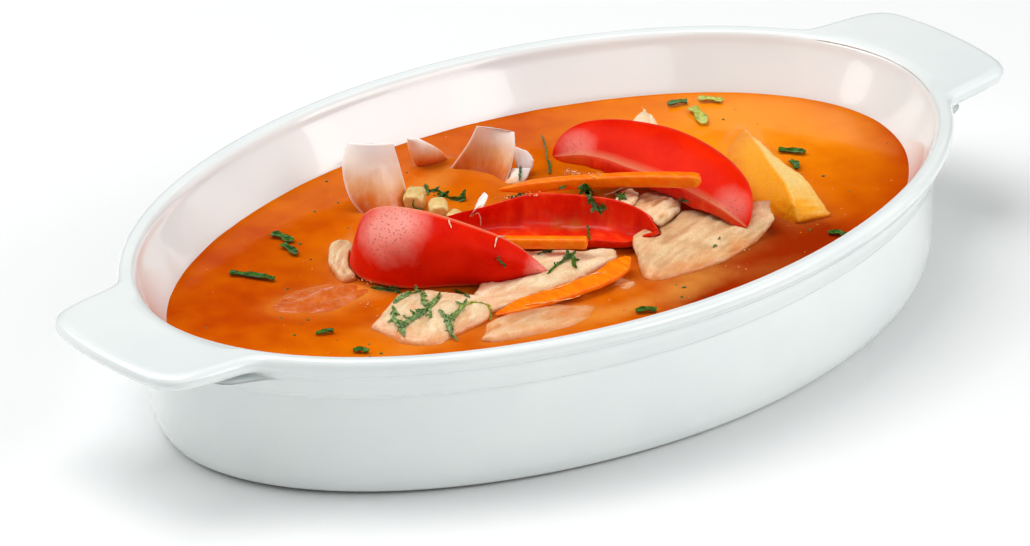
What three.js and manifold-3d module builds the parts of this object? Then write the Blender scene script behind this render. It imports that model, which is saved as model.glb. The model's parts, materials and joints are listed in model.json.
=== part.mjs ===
// A fish stew in an oval two-handled dish: orange broth with fish, tomato, carrot, onion, potato and herbs.
// Millimetres. +Z is up, +X runs along the dish towards one handle, and the origin is the middle of the base.
import * as THREE from "three";
import Module from "manifold-3d";

const wasm = await Module();
wasm.setup();

// ---- Driving dimensions ----

const RIM_LENGTH = 246.4; // outside the rim, handles not counted
const RIM_WIDTH = 166.2;
const DISH_HEIGHT = 42;
const RIM_POWER = 1.93; // 2 is an ellipse, less is a little leaner
const HANDLE_REACH = 142; // from the middle of the dish to a handle's tip
const HANDLE_HALF_WIDTH = 29.5;
const HANDLE_POWER = 12; // how square the handle's end is
const HANDLE_BOW = 2.6; // how far the corners of its end stand back
const HANDLE_BLEND = 4.2; // size of the fillet between handle and rim
const DISH_SIDES = 84;

const BROTH_LEVEL = 27;
const GAP = 0.3; // kept between neighbouring pieces
const CUT_GAP = 0.36; // how far a piece's corners are moved out before it is cut from its neighbours
const ROD_SIDES = 8;

const CERAMIC = { color: 0xf1f3f2, roughness: 0.18 };
const BROTH = { color: 0xdc6f10, roughness: 0.15 };
const TOMATO = { color: 0xd0170b, roughness: 0.3 };
const CARROT = { color: 0xf57a0a, roughness: 0.35 };
const FISH = { color: 0xe3c9a4, roughness: 0.5 };
const ONION = { color: 0xe6c3ab, roughness: 0.3 };
const POTATO = { color: 0xe8b54a, roughness: 0.5 };
const CELERY = { color: 0xdcd29a, roughness: 0.45 };
const HERB = { color: 0x3c7a24, roughness: 0.5 };
const SCALLION = { color: 0x9dbb3f, roughness: 0.45 };

// ---- Shape helpers ----

const point = ([x, y, z]) => new THREE.Vector3(x, y, z);
const mix = (a, b, t) => a + (b - a) * t;

// A repeatable source of numbers from 0 to 1.
function dice(seed) {
  let state = seed;
  return () => {
    state = (state * 16807) % 2147483647;
    return state / 2147483647;
  };
}

function signedVolume(vertices, triangles) {
  const [a, b, c] = [new THREE.Vector3(), new THREE.Vector3(), new THREE.Vector3()];
  let six = 0;
  for (let i = 0; i < triangles.length; i += 3) {
    a.fromArray(vertices, 3 * triangles[i]);
    b.fromArray(vertices, 3 * triangles[i + 1]);
    c.fromArray(vertices, 3 * triangles[i + 2]);
    six += a.dot(b.cross(c));
  }
  return six / 6;
}

// Skins a list of rings of points. A ring of one point is a tip. The first and last rings are closed by a
// fan to their middle or, where `folded`, by a strip between their two halves, as a thin sheet's ends are.
function loft(rings, folded = false) {
  const middle = (ring) => ring.reduce((sum, p) => sum.add(p), new THREE.Vector3()).divideScalar(ring.length);
  const all = [...rings];
  if (!folded && all[0].length > 1) all.unshift([middle(all[0])]);
  if (!folded && all.at(-1).length > 1) all.push([middle(all.at(-1))]);
  const vertices = all.flat().flatMap((p) => p.toArray());
  const triangles = [];
  const strip = (first, count, flip) => {
    for (let i = 0; i < count / 2 - 1; i++) {
      const [a, b, c, d] = [i, i + 1, count - 2 - i, count - 1 - i].map((k) => first + k);
      triangles.push(...(flip ? [a, c, b, a, d, c] : [a, b, c, a, c, d]));
    }
  };
  if (folded) strip(0, all[0].length, false);
  if (folded) strip(vertices.length / 3 - all.at(-1).length, all.at(-1).length, true);
  let start = 0;
  for (let r = 0; r + 1 < all.length; r++) {
    const [here, next] = [all[r].length, all[r + 1].length];
    const after = start + here;
    const count = Math.max(here, next);
    for (let i = 0; i < count; i++) {
      const j = (i + 1) % count;
      if (next > 1) triangles.push(start + (i % here), after + i, after + j);
      if (here > 1) triangles.push(start + i, after + (j % next), start + j);
    }
    start = after;
  }
  if (signedVolume(vertices, triangles) < 0)
    for (let i = 0; i < triangles.length; i += 3)
      [triangles[i + 1], triangles[i + 2]] = [triangles[i + 2], triangles[i + 1]];
  return new THREE.BufferGeometry()
    .setAttribute("position", new THREE.Float32BufferAttribute(vertices, 3))
    .setIndex(triangles);
}

// A smooth line through points, sampled at fractions of its length from 0 to 1.
const lineThrough = (points) => new THREE.CatmullRomCurve3(points.map(point), false, "centripetal");

// A curved shell between two edge lines, such as a segment of tomato or onion. Its outer side bulges
// towards `out`, and `wall` is how thick it is. The lines meet at both ends, unless it is `open`. A `facing`
// shell bulges straight towards `out` all over, which keeps a blunt end smooth.
function shell({ near, far, bulge, out, wall, along = 14, across = 6, rib = 0, open = false,
  facing = false }) {
  const edges = [lineThrough(near), lineThrough(far)];
  const outward = point(out).normalize();
  const rings = open ? [] : [[edges[0].getPoint(0)]];
  for (let i = open ? 0 : 1; i < along + (open ? 1 : 0); i++) {
    const u = i / along;
    const [a, b] = edges.map((edge) => edge.getPoint(u));
    const run = edges[0].getTangent(u).add(edges[1].getTangent(u)).normalize();
    const chord = b.clone().sub(a);
    const normal = facing ? outward.clone() : chord.clone().cross(run).normalize();
    if (normal.dot(outward) < 0) normal.negate();
    const fullness = open ? 1 : Math.sqrt(Math.sin(Math.PI * u));
    const depth = wall * fullness * (1 + rib * Math.cos(6 * Math.PI * u));
    const skin = (v) => {
      const arch = 4 * v * (1 - v) * bulge * fullness;
      return a.clone().addScaledVector(chord, v).addScaledVector(normal, arch);
    };
    const flesh = (v) => skin(mix(0.06, 0.94, v)).addScaledVector(normal, -depth);
    const steps = Array.from({ length: across + 1 }, (_, k) => k / across);
    rings.push([...steps.map(skin), ...steps.reverse().map(flesh)]);
  }
  if (!open) rings.push([edges[0].getPoint(1)]);
  return loft(rings, open);
}

// A flat-lying chunk: a closed outline in plan, with a crowned top in flaky ridges and a level underside.
// `tilt` is the rise of the top for each mm along x and y, `curl` lifts it further, `grain` is the
// direction that its ridges run in, and `ragged` is how uneven its edge is.
function chunk({ outline, top, thick, crown = 1.5, tilt = [0, 0], curl = () => 0, grain = 0, rough = 0.3,
  ragged = 0.4, seed = 1, sides = 22, steps = [0.3, 0.56, 0.8] }) {
  const edge = new THREE.CatmullRomCurve3(outline.map(([x, y]) => point([x, y, 0])), true, "centripetal");
  const centre = edge.getPoints(60).reduce((sum, p) => sum.add(p), new THREE.Vector3()).divideScalar(61);
  const roll = dice(seed);
  const bites = Array.from({ length: sides }, () => 1 - ragged * 0.07 * roll());
  const height = (p) => {
    const across = p.x * Math.sin(grain) - p.y * Math.cos(grain);
    const ridge = Math.sin(0.9 * across + seed) + 0.6 * Math.sin(0.37 * across + 0.31 * p.x + seed);
    return top + tilt[0] * (p.x - centre.x) + tilt[1] * (p.y - centre.y) + rough * ridge + curl(p.x, p.y);
  };
  const ring = (share, drop) =>
    bites.map((bite, i) => {
      const p = centre.clone().lerp(edge.getPoint(i / sides), share * mix(1, bite, share));
      p.z = height(p) + crown * (1 - share * share) - drop + 0.25 * rough * (roll() - 0.5);
      return p;
    });
  const crownTip = centre.clone().setZ(height(centre) + crown);
  return loft([
    [crownTip],
    ...steps.map((share) => ring(share, 0)),
    ring(0.94, 0.3),
    ring(1, 1.2),
    ring(0.82, thick),
  ]);
}

// A stick of carrot along a line, `width` by `height` in section, narrowing at its ends. Its far end is
// `grow` times as thick as its near end.
function stick({ path, width, height, ends = [0.5, 0.8], grow = 1, along = 10 }) {
  const line = lineThrough(path);
  const up = point([0, 0, 1]);
  const rings = [];
  for (let i = 0; i <= along; i++) {
    const u = i / along;
    const run = line.getTangent(u);
    const side = run.clone().cross(up).normalize();
    const rise = side.clone().cross(run).normalize();
    const fade = Math.min(1, ends[0] + 5 * u, ends[1] + 5 * (1 - u)) * mix(1 / grow, 1, u);
    rings.push(
      Array.from({ length: ROD_SIDES }, (_, k) => {
        const turn = ((k + 0.5) / ROD_SIDES) * 2 * Math.PI;
        const square = (t) => Math.sign(t) * Math.abs(t) ** 0.55;
        return line
          .getPoint(u)
          .addScaledVector(side, 0.5 * width * fade * square(Math.cos(turn)))
          .addScaledVector(rise, 0.5 * height * fade * square(Math.sin(turn)));
      }),
    );
  }
  return loft(rings);
}

// A piece lofted between lines that run its whole length side by side, such as a cut wedge.
function wedge({ lines, along = 8 }) {
  const curves = lines.map(lineThrough);
  const rings = Array.from({ length: along + 1 }, (_, i) => curves.map((c) => c.getPoint(i / along)));
  return loft(rings);
}

// A thin wavy blade along a line: both faces are split into the same triangles.
function blade({ path, width, thick = 0.7, along = 8, wave = 0.3, tip = 0.3 }) {
  const line = lineThrough(path);
  const up = point([0, 0, 1]);
  const rings = [];
  for (let i = 0; i <= along; i++) {
    const u = i / along;
    const side = line.getTangent(u).cross(up).normalize();
    const half = 0.5 * width * mix(tip, 1, Math.sin(Math.PI * mix(0.08, 0.92, u)) ** 0.6);
    const lift = wave * Math.sin(7 * u);
    const at = (across, rise) => {
      const p = line.getPoint(u).addScaledVector(side, across * half);
      return p.setZ(p.z + rise + lift * Math.abs(across));
    };
    const face = (rise) => [-1, 0, 1].map((across) => at(across, rise));
    rings.push([...face(thick / 2), ...face(-thick / 2).reverse()]);
  }
  return loft(rings);
}

// ---- Dish ----

// Distance from the middle to a superellipse, in the direction given.
const reach = (cos, sin, a, b, power) =>
  ((Math.abs(cos) / a) ** power + (Math.abs(sin) / b) ** power) ** (-1 / power);

// One outline of the dish, `inset` inside the rim. With `handles` from 0 to 1 it takes in that share of
// them, `trim` smaller all round.
function dishPoint(angle, inset, z, handles = 0, trim = 0) {
  const [cos, sin] = [Math.cos(angle), Math.sin(angle)];
  let r = reach(cos, sin, RIM_LENGTH / 2 - inset, RIM_WIDTH / 2 - inset, RIM_POWER);
  if (handles > 0) {
    const span = mix(RIM_LENGTH / 2, HANDLE_REACH, handles) - trim;
    const grip = reach(cos, sin, span, HANDLE_HALF_WIDTH - trim, HANDLE_POWER);
    const bow = HANDLE_BOW * handles * Math.min(1, Math.abs(grip * sin) / (HANDLE_HALF_WIDTH * 0.8)) ** 2;
    const lead = (grip - bow - r) / HANDLE_BLEND;
    r += HANDLE_BLEND * Math.log1p(Math.exp(lead)) * (lead > -4 ? 1 : 0);
  }
  return new THREE.Vector3(r * cos, r * sin, z);
}

// Directions round the dish, closer together on the handles.
function dishAngles() {
  const fine = Array.from({ length: 3600 }, (_, i) => (i / 3600) * 2 * Math.PI);
  const rim = fine.map((angle) => dishPoint(angle, 0, 0, 1));
  const travelled = [0];
  rim.forEach((p, i) => {
    const step = p.distanceTo(rim[(i + 1) % rim.length]);
    travelled.push(travelled.at(-1) + step * (Math.abs(p.x) > RIM_LENGTH * 0.43 ? 2 : 1));
  });
  const angles = [];
  for (let i = 0, k = 0; k < DISH_SIDES; i++)
    if (travelled[i] >= (travelled.at(-1) * k) / DISH_SIDES) {
      angles.push(fine[i]);
      k++;
    }
  return angles;
}
const ANGLES = dishAngles();
const dishRing = (...shape) => ANGLES.map((angle) => dishPoint(angle, ...shape));

// Profile of the inside wall, from the lip down to the floor: [inset, height].
const INSIDE = [[4.6, 41.2], [5.6, 38.8], [12.6, 27], [17.5, 13], [21, 7], [27, 4.6]];

function dish() {
  return loft([
    dishRing(12.4, 0), // flat base
    dishRing(9, 1.6),
    dishRing(7.1, 5.2),
    dishRing(6.5, 10),
    dishRing(5.6, 29.2), // step under the rim band
    dishRing(4.5, 30.2),
    dishRing(2.7, 34.6),
    dishRing(2.3, 36, 0.45, 6), // underside of the handles
    dishRing(1.9, 36.9, 1, 3.2),
    dishRing(0.9, 38.2, 1, 0.8),
    dishRing(0, 40, 1, 0),
    dishRing(0.6, 41.5, 1, 0.7),
    dishRing(1.7, DISH_HEIGHT, 1, 2.2),
    dishRing(3.4, DISH_HEIGHT - 0.1, 0.12, 8),
    ...INSIDE.map(([inset, z]) => dishRing(inset, z)),
  ]);
}

function broth() {
  const level = INSIDE.filter(([, z]) => z < BROTH_LEVEL);
  return loft([
    dishRing(12.6 + GAP, BROTH_LEVEL),
    ...level.map(([inset, z]) => dishRing(inset + GAP, z + GAP)),
  ]);
}

// ---- Solids: each piece is cut clear of the ones that lie on it ----

function solidOf(geometry) {
  const vertProperties = new Float32Array(geometry.attributes.position.array);
  const triVerts = new Uint32Array(geometry.index.array);
  return new wasm.Manifold(new wasm.Mesh({ numProp: 3, vertProperties, triVerts }));
}

function geometryOf(solid) {
  const { vertProperties, triVerts } = solid.getMesh();
  return new THREE.BufferGeometry()
    .setAttribute("position", new THREE.BufferAttribute(new Float32Array(vertProperties), 3))
    .setIndex(new THREE.BufferAttribute(new Uint32Array(triVerts), 1));
}

// The same solid, larger on every side.
function swollen(solid) {
  const geometry = geometryOf(solid);
  geometry.computeVertexNormals();
  const { position, normal } = geometry.attributes;
  const moved = position.array.map((value, i) => value + CUT_GAP * normal.array[i]);
  geometry.setAttribute("position", new THREE.BufferAttribute(moved, 3));
  return solidOf(geometry).add(solid);
}

const largest = (solid) => solid.decompose().sort((a, b) => b.volume() - a.volume())[0];

const stew = new THREE.Group();
const laid = []; // solids in place so far, each with its swollen form

// Adds a piece. What is already in place is cut out of it, with a gap.
function add(name, geometry, material, whole = false) {
  let solid = solidOf(geometry);
  const box = solid.boundingBox();
  for (const other of whole ? [] : laid) {
    const apart = [0, 1, 2].some((k) => other.box.min[k] > box.max[k] || other.box.max[k] < box.min[k]);
    if (!apart) solid = solid.subtract(other.swollen);
  }
  solid = largest(solid);
  const larger = swollen(solid);
  laid.push({ swollen: larger, box: larger.boundingBox() });
  const shape = geometryOf(solid);
  shape.computeBoundingBox();
  const centre = shape.boundingBox.getCenter(new THREE.Vector3());
  shape.translate(-centre.x, -centre.y, -centre.z);
  const mesh = new THREE.Mesh(shape, new THREE.MeshStandardMaterial(material));
  mesh.name = name;
  mesh.position.copy(centre);
  stew.add(mesh);
}

// ---- Pieces, from the top of the pile down ----

const VIEWER = [-0.56, -0.71, 0.43]; // direction from the pile towards someone at the front left

add("carrot_long", stick({
  path: [[6, 26, 30], [15, 8, 35.5], [24, -12, 40.5], [31, -27, 43.2]],
  width: 3.8, height: 3.8, ends: [0.25, 0.75], grow: 1.25, along: 10,
}), CARROT);

add("tomato_front", shell({
  near: [[-43.3, 22.6, 34.5], [-47, 20.5, 31], [-50, 16.9, 29], [-50.7, 12.7, 28], [-49.3, 5.3, 27.8],
    [-44.7, -1.2, 27.6], [-36.3, -7.2, 27.7], [-26.7, -14.9, 28], [-13.6, -20.6, 29]],
  far: [[-43.3, 22.6, 34.5], [-43.4, 20, 40], [-43.5, 15.9, 44], [-42.4, 11.3, 46.4], [-40.5, 5.3, 47.6],
    [-36.3, -1.7, 47], [-29.5, -9.3, 43.8], [-21.9, -15.3, 38.8], [-13.6, -20.6, 29]],
  bulge: 7, out: VIEWER, wall: 7, along: 16, across: 6, facing: true,
}), TOMATO);

add("tomato_back", shell({
  near: [[19, 19, 38], [22.5, 9, 40.5], [25, -5, 41], [29, -18, 39.5], [33.5, -30, 36], [38, -37, 31]],
  far: [[19, 19, 38], [31, 20, 36], [43, 10, 34], [50, -4, 32], [49, -21, 30], [38, -37, 31]],
  bulge: 10.8, out: [0.3, 0, 1], wall: 7, along: 14, across: 6,
}), TOMATO);

add("carrot_short", stick({
  path: [[-19, -2, 33], [-10, -12, 33.5], [-2, -21, 34]],
  width: 3, height: 3, ends: [0.9, 0.95], along: 5,
}), CARROT);

add("tomato_middle", shell({
  near: [[-19, 17, 33], [-12, 9, 37], [1, 1, 39.3], [13, -10, 37.8], [19, -20, 35], [17.5, -26.5, 32.5]],
  far: [[-19, 17, 33], [-17, 7, 29], [-7, -5, 28], [3, -13, 28], [11, -21, 28.5], [17.5, -26.5, 32.5]],
  bulge: 8, out: [0.56, 0.71, -0.3], wall: 6, along: 14, across: 6, rib: 0.15,
}), TOMATO);

// Potato: a yellow wedge with a pale cut top, its long left side running down under the broth.
add("potato_wedge", wedge({
  lines: [
    [[79, 13, 28], [72, -2, 31], [64, -16, 33], [58, -29, 34], [54.5, -36, 32.5], [54, -38.5, 28]],
    [[81, 15, 28], [74, -2, 30.5], [70, -13, 31.5], [68, -25, 31.4], [65, -34.5, 29.7], [63.5, -41, 27.9]],
    [[82, 14, 25], [77, -3, 24], [73, -14, 23], [70, -26, 23], [66, -34, 23], [62, -38, 24]],
    [[82, 17, 24], [69, 8, 22], [65, 0, 20], [58, -12, 20], [56, -25, 20], [56, -34, 22]],
    [[82, 19, 26.6], [69, 10, 26.6], [64, 1, 26.6], [57, -12, 26.6], [53, -26, 26.6], [53, -36, 26.4]],
  ],
  along: 12,
}), POTATO);

add("fish_flake", chunk({
  outline: [[17, -15], [25, -8], [31, -10], [32, -18], [25, -24], [18, -26]],
  top: 34.6, thick: 3, crown: 1, tilt: [-0.03, 0.03], rough: 0.5, ragged: 2.4, seed: 5, sides: 14,
}), FISH);

add("fish_shred", chunk({
  outline: [[17, -8], [25, -5], [26, -9], [18, -14]],
  top: 35.4, thick: 1.6, crown: 0.4, rough: 0.5, ragged: 2, seed: 9, sides: 12,
}), FISH);

add("fish_slice", chunk({
  outline: [[12, -22], [24, -18], [36, -22], [46, -29], [51, -35], [42, -40], [24, -43], [8, -41.5], [3, -37],
    [7, -29]],
  top: 30.6, thick: 5, crown: 0.8, tilt: [0.03, 0.2], curl: (x) => 0.03 * Math.max(0, x - 38) ** 2,
  grain: 1.2, rough: 0.35, ragged: 2, seed: 3, sides: 22,
}), FISH);

add("carrot_slice", stick({
  path: [[-38, -28, 28], [-22, -31, 28.9], [-5, -32, 29.4], [5, -29, 30.6]],
  width: 6.4, height: 1.8, ends: [0.2, 0.25], along: 12,
}), CARROT);

add("fish_strip", chunk({
  outline: [[-40, -25], [-28, -27], [-16, -27], [-4, -27], [5, -26], [8, -22], [0, -17], [-11, -6],
    [-24, -10], [-38, -17]],
  top: 29.6, thick: 4, crown: 0.8, tilt: [0.03, 0.02], grain: -0.2, rough: 0.4, ragged: 1.2, seed: 4,
  sides: 20,
}), FISH);

add("fish_chunk", chunk({
  outline: [[-66, -12], [-59, -8], [-51, -4.5], [-44, -8], [-39, -15], [-36, -22], [-39, -28], [-49, -30],
    [-59, -31], [-65.5, -25], [-65, -17]],
  top: 29.2, thick: 5, crown: 2, tilt: [0.06, 0.05], grain: 0.5, rough: 0.4, ragged: 0.8, seed: 6,
  sides: 18,
}), FISH);

add("fish_sunk", chunk({
  outline: [[-49.5, -36.5], [-45, -31.5], [-38, -29.5], [-30, -29], [-22, -32], [-15, -38], [-13, -43],
    [-22, -46], [-34, -44.5], [-45, -41]],
  top: 27.9, thick: 5, crown: 1.2, tilt: [-0.04, 0.05], grain: -0.3, rough: 0.3, ragged: 1, seed: 7,
  sides: 18,
}), FISH);

add("fish_back", wedge({
  lines: [
    [[47.5, 27, 30], [53, 27.5, 35.5], [57.5, 29, 36]],
    [[55.5, 15.5, 30], [56.5, 21, 35], [58.5, 28, 36]],
    [[59, 27, 29], [60, 29, 33], [58.5, 31, 36]],
  ],
  along: 3,
}), FISH);

add("fish_end", chunk({
  outline: [[-54.5, 13.5], [-54, 19], [-51.5, 24.5], [-47, 28.5], [-42.5, 27], [-44, 20], [-49, 13]],
  top: 30.4, thick: 5, crown: 1, tilt: [0.12, 0.12], rough: 0.3, ragged: 0.5, seed: 8, sides: 12,
}), FISH);

add("fish_crumb", chunk({
  outline: [[-5, -34], [-1, -31.5], [2, -34], [0, -38], [-4, -38]],
  top: 27.6, thick: 3, crown: 0.8, rough: 0.5, ragged: 2, seed: 11, sides: 12,
}), FISH);

// Onion: pale, glassy petals that curl up out of the broth.
add("onion_left", shell({
  near: [[-25, 43, 26], [-27, 47, 31], [-26, 51, 38], [-22.5, 53, 43.5]],
  far: [[-14, 38, 26], [-12.5, 41, 31], [-12, 44, 37], [-13, 45, 43]],
  bulge: 3, out: VIEWER, wall: 1.6, along: 9, across: 6, open: true,
}), ONION);

add("onion_lobe", shell({
  near: [[0.6, 57.2, 36], [2.1, 58.6, 31], [3.5, 56.8, 26.5], [7.9, 55.1, 26.3], [12.3, 55.1, 27]],
  far: [[0.6, 57.2, 36], [2.6, 55.4, 36], [4.9, 53.4, 34.5], [8.3, 53.1, 31.5], [12.3, 55.1, 27]],
  bulge: 2, out: VIEWER, wall: 1.5, along: 9, across: 4, facing: true,
}), ONION);

add("onion_back", shell({
  near: [[8, 50.5, 26], [10, 48.5, 30], [12, 46, 35], [13.5, 44, 40]],
  far: [[14, 33, 26], [16, 33, 30], [18.5, 34, 35], [20.5, 36.5, 38.5]],
  bulge: 3, out: [0.56, 0.71, -0.2], wall: 1.5, along: 8, across: 7, open: true,
}), ONION);

add("onion_sunk", chunk({
  outline: [[-79, 15], [-69, 18], [-55, 14], [-51, 6], [-56, 4], [-69, 3]],
  top: 27.5, thick: 1.8, crown: 0.5, rough: 0.3, ragged: 0.6, seed: 12, sides: 18,
}), ONION);

// Small scraps of onion: the two edges of each, from its top down.
const onionBits = [
  {
    near: [[22.2, 39.3, 33], [20.2, 36.9, 31], [19.4, 34.8, 28.5]],
    far: [[22.8, 34.6, 33], [23.3, 32.3, 31], [21.7, 31.8, 28.5]],
  },
  {
    near: [[17.2, 34.1, 30], [14.9, 33.8, 28.5], [13.4, 32.9, 27]],
    far: [[20.9, 30.7, 30], [18.8, 29.4, 28.5], [16.3, 29.3, 27]],
  },
  {
    near: [[1.7, 26.3, 31], [-1.2, 25.3, 30], [-5.4, 22.1, 29]],
    far: [[0.7, 23.1, 31], [-1.8, 21.6, 30], [-5.4, 19.6, 29]],
  },
];
onionBits.forEach((edges, i) =>
  add(`onion_bit_${i + 1}`, shell({
    ...edges, bulge: 0.8, out: VIEWER, wall: 1.3, along: 4, across: 3, open: true, facing: true,
  }), ONION));

// Celery, diced: [middle, size, turn].
const celery = [
  [[-12.3, 38, 29], 6, 0.7],
  [[-10.8, 30, 28.4], 5.4, 1],
  [[-9.5, 25, 27.6], 3.6, 0.3],
];
celery.forEach(([[x, y, z], size, turn], i) => {
  const [dx, dy] = [0.5 * size * Math.cos(turn), 0.5 * size * Math.sin(turn)];
  const path = [[x - dx, y - dy, z - 0.3], [x, y, z], [x + dx, y + dy, z + 0.3]];
  const cube = stick({ path, width: size, height: size, ends: [0.86, 0.86], along: 3 });
  add(`celery_dice_${i + 1}`, cube, CELERY);
});

// Scallion and chive floating on the broth: [ends in plan, width, material].
const floating = [
  [[-51, 49], [-50, 42], 3, HERB],
  [[-53, 42], [-54, 35], 2.6, HERB],
  [[-73, 38], [-67, 27], 2.6, HERB],
  [[-78, -5], [-74, -7], 1.8, HERB],
  [[-77, -19], [-75, -22], 2.2, HERB],
  [[76, 41], [81, 39], 2.4, HERB],
  [[84, 38], [88, 33], 2.6, SCALLION],
  [[79, 35], [75, 25], 3.6, SCALLION],
  [[79, -1], [83, -7], 3, HERB],
  [[77, -8], [75, -13], 2.4, HERB],
  [[56, -48], [58, -52], 2.2, HERB],
  [[-10, -50], [-6, -53], 2.4, HERB],
];
floating.forEach(([from, to, width, material], i) => {
  const z = BROTH_LEVEL + 1;
  const middle = [mix(from[0], to[0], 0.5) + 0.6, mix(from[1], to[1], 0.5), z + 0.2];
  const path = [[...from, z], middle, [...to, z]];
  add(`scallion_${i + 1}`, blade({ path, width, thick: 1.1, along: 4, wave: 0.25, tip: 0.55 }), material);
});

// Shreds of parsley and chive draped over the pile: [points in plan, width].
const shreds = [
  [[[-57, -10], [-52, -9], [-48, -11]], 2],
  [[[-47, -15], [-52, -19], [-58, -21], [-64, -24]], 2],
  [[[-49, -12], [-51, -16], [-55, -22]], 1.5],
  [[[-59, -12], [-62, -17], [-63, -22]], 1.5],
  [[[-43, -22], [-49, -25], [-52, -27], [-55, -30]], 2],
  [[[-50, -26.5], [-45, -23.5], [-41, -25], [-40, -28]], 1.3],
  [[[-17, -22], [-9, -19], [-6, -16]], 1.3],
  [[[-9, -18], [-8, -22], [-9, -25]], 1.8],
  [[[-8, 40], [-6, 35], [-4, 31], [1, 27]], 2.4],
];
const down = new THREE.Raycaster();
function drape([x, y]) {
  stew.updateMatrixWorld(true);
  down.set(point([x, y, 2 * DISH_HEIGHT]), point([0, 0, -1]));
  const [top] = down.intersectObjects(stew.children);
  return [x, y, Math.max(top ? top.point.z : 0, BROTH_LEVEL) + 1.1];
}
shreds.forEach(([path, width], i) =>
  add(`herb_shred_${i + 1}`, blade({ path: path.map(drape), width, thick: 0.7, along: 6, wave: 0.2 }), HERB));

add("broth", broth(), BROTH);
add("dish", dish(), CERAMIC, true);

export default stew;
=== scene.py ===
# The looks of a dish of fish stew: glazed porcelain, oily orange broth, and the food that stands in it.
# Places and sizes are in millimetres in the CAD model's frame, and MM turns them into metres.
import itertools
import json
import math

import bpy
import numpy as np
from mathutils import Matrix, Vector
from mathutils.bvhtree import BVHTree
from mathutils.kdtree import KDTree

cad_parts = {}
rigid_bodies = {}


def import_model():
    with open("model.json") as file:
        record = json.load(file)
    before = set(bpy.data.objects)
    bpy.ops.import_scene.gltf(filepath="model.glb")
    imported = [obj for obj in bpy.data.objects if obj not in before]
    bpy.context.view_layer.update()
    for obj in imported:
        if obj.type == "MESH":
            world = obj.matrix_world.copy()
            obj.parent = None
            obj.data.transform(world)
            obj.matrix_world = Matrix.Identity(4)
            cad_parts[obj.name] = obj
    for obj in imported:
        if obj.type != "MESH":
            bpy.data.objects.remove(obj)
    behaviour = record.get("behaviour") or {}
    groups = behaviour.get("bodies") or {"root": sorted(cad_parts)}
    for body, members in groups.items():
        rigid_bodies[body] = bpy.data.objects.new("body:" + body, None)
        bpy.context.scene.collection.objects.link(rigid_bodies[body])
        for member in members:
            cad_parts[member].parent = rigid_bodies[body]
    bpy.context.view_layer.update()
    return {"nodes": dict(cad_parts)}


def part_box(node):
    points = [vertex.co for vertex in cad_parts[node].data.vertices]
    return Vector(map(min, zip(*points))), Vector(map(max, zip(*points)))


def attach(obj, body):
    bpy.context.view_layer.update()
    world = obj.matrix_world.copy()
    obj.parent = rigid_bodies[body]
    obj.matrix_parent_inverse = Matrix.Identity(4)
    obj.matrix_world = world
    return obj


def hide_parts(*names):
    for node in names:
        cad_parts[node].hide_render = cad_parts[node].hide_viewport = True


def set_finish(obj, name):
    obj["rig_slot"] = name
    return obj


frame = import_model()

MM = 0.001

# ---- Driving dimensions, the same as the CAD model's ----

DISH_LOW, DISH_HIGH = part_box("dish")
RIM_LENGTH = 246.4
RIM_WIDTH = 2 * DISH_HIGH.y / MM
DISH_HEIGHT = DISH_HIGH.z / MM
RIM_POWER = 1.93
HANDLE_REACH = 142.0
HANDLE_HALF_WIDTH = 29.5
HANDLE_POWER = 12
HANDLE_BOW = 2.6
HANDLE_BLEND = 4.2
BROTH_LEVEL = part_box("broth")[1].z / MM
BROTH_INSET = 12.6  # from the rim's outside to the wall at the broth's level

DISH_ANGLES = 420
BROTH_ANGLES = 480
BROTH_RINGS = 130

# ---- Noise and lines ----

PERMUTED = np.tile(np.random.default_rng(3).permutation(256), 3)
GRADIENTS = np.random.default_rng(4).normal(size=(256, 3))
GRADIENTS /= np.linalg.norm(GRADIENTS, axis=1, keepdims=True)


def noise(points):
    """Smooth noise from about -1 to 1 at each point, with features one unit wide."""
    cell = np.floor(points).astype(int)
    part = points - cell
    fade = part**3 * (part * (part * 6 - 15) + 10)
    total = np.zeros(len(points))
    for corner in itertools.product((0, 1), repeat=3):
        corner = np.array(corner)
        x, y, z = ((cell + corner) & 255).T
        gradient = GRADIENTS[PERMUTED[PERMUTED[PERMUTED[x] + y] + z]]
        weight = np.where(corner, fade, 1 - fade).prod(axis=1)
        total += weight * (gradient * (part - corner)).sum(axis=1)
    return 1.7 * total


def layered(points, size, octaves=3, seed=0):
    """Noise with finer and finer layers, its largest features `size` wide."""
    place = np.asarray(points, float) / size + 17.3 * seed
    total = sum(noise(place * 2**k) / 2**k for k in range(octaves))
    return total / sum(0.5**k for k in range(octaves))


def line_through(points, fractions, closed=False):
    """Points at fractions of a smooth line: the centripetal Catmull-Rom curve that the CAD model uses."""
    points = np.asarray(points, float)
    count = len(points)
    first, last = 2 * points[0] - points[1], 2 * points[-1] - points[-2]
    out = []
    for fraction in fractions:
        place = fraction * (count if closed else count - 1)
        start = min(int(place), count - (1 if closed else 2))
        t = place - start
        if closed:
            p0, p1, p2, p3 = (points[(start + k) % count] for k in (-1, 0, 1, 2))
        else:
            p0 = points[start - 1] if start > 0 else first
            p1, p2 = points[start], points[start + 1]
            p3 = points[start + 2] if start + 2 < count else last
        d0, d1, d2 = (max(np.linalg.norm(b - a), 1e-6) ** 0.5 for a, b in ((p0, p1), (p1, p2), (p2, p3)))
        m1 = ((p1 - p0) / d0 - (p2 - p0) / (d0 + d1) + (p2 - p1) / d1) * d1
        m2 = ((p2 - p1) / d1 - (p3 - p1) / (d1 + d2) + (p3 - p2) / d2) * d1
        out.append(p1 + m1 * t + (3 * (p2 - p1) - 2 * m1 - m2) * t**2 + (2 * (p1 - p2) + m1 + m2) * t**3)
    return np.array(out)


def unit(vectors):
    return vectors / np.maximum(np.linalg.norm(vectors, axis=-1, keepdims=True), 1e-9)


# ---- Meshes ----


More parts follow.
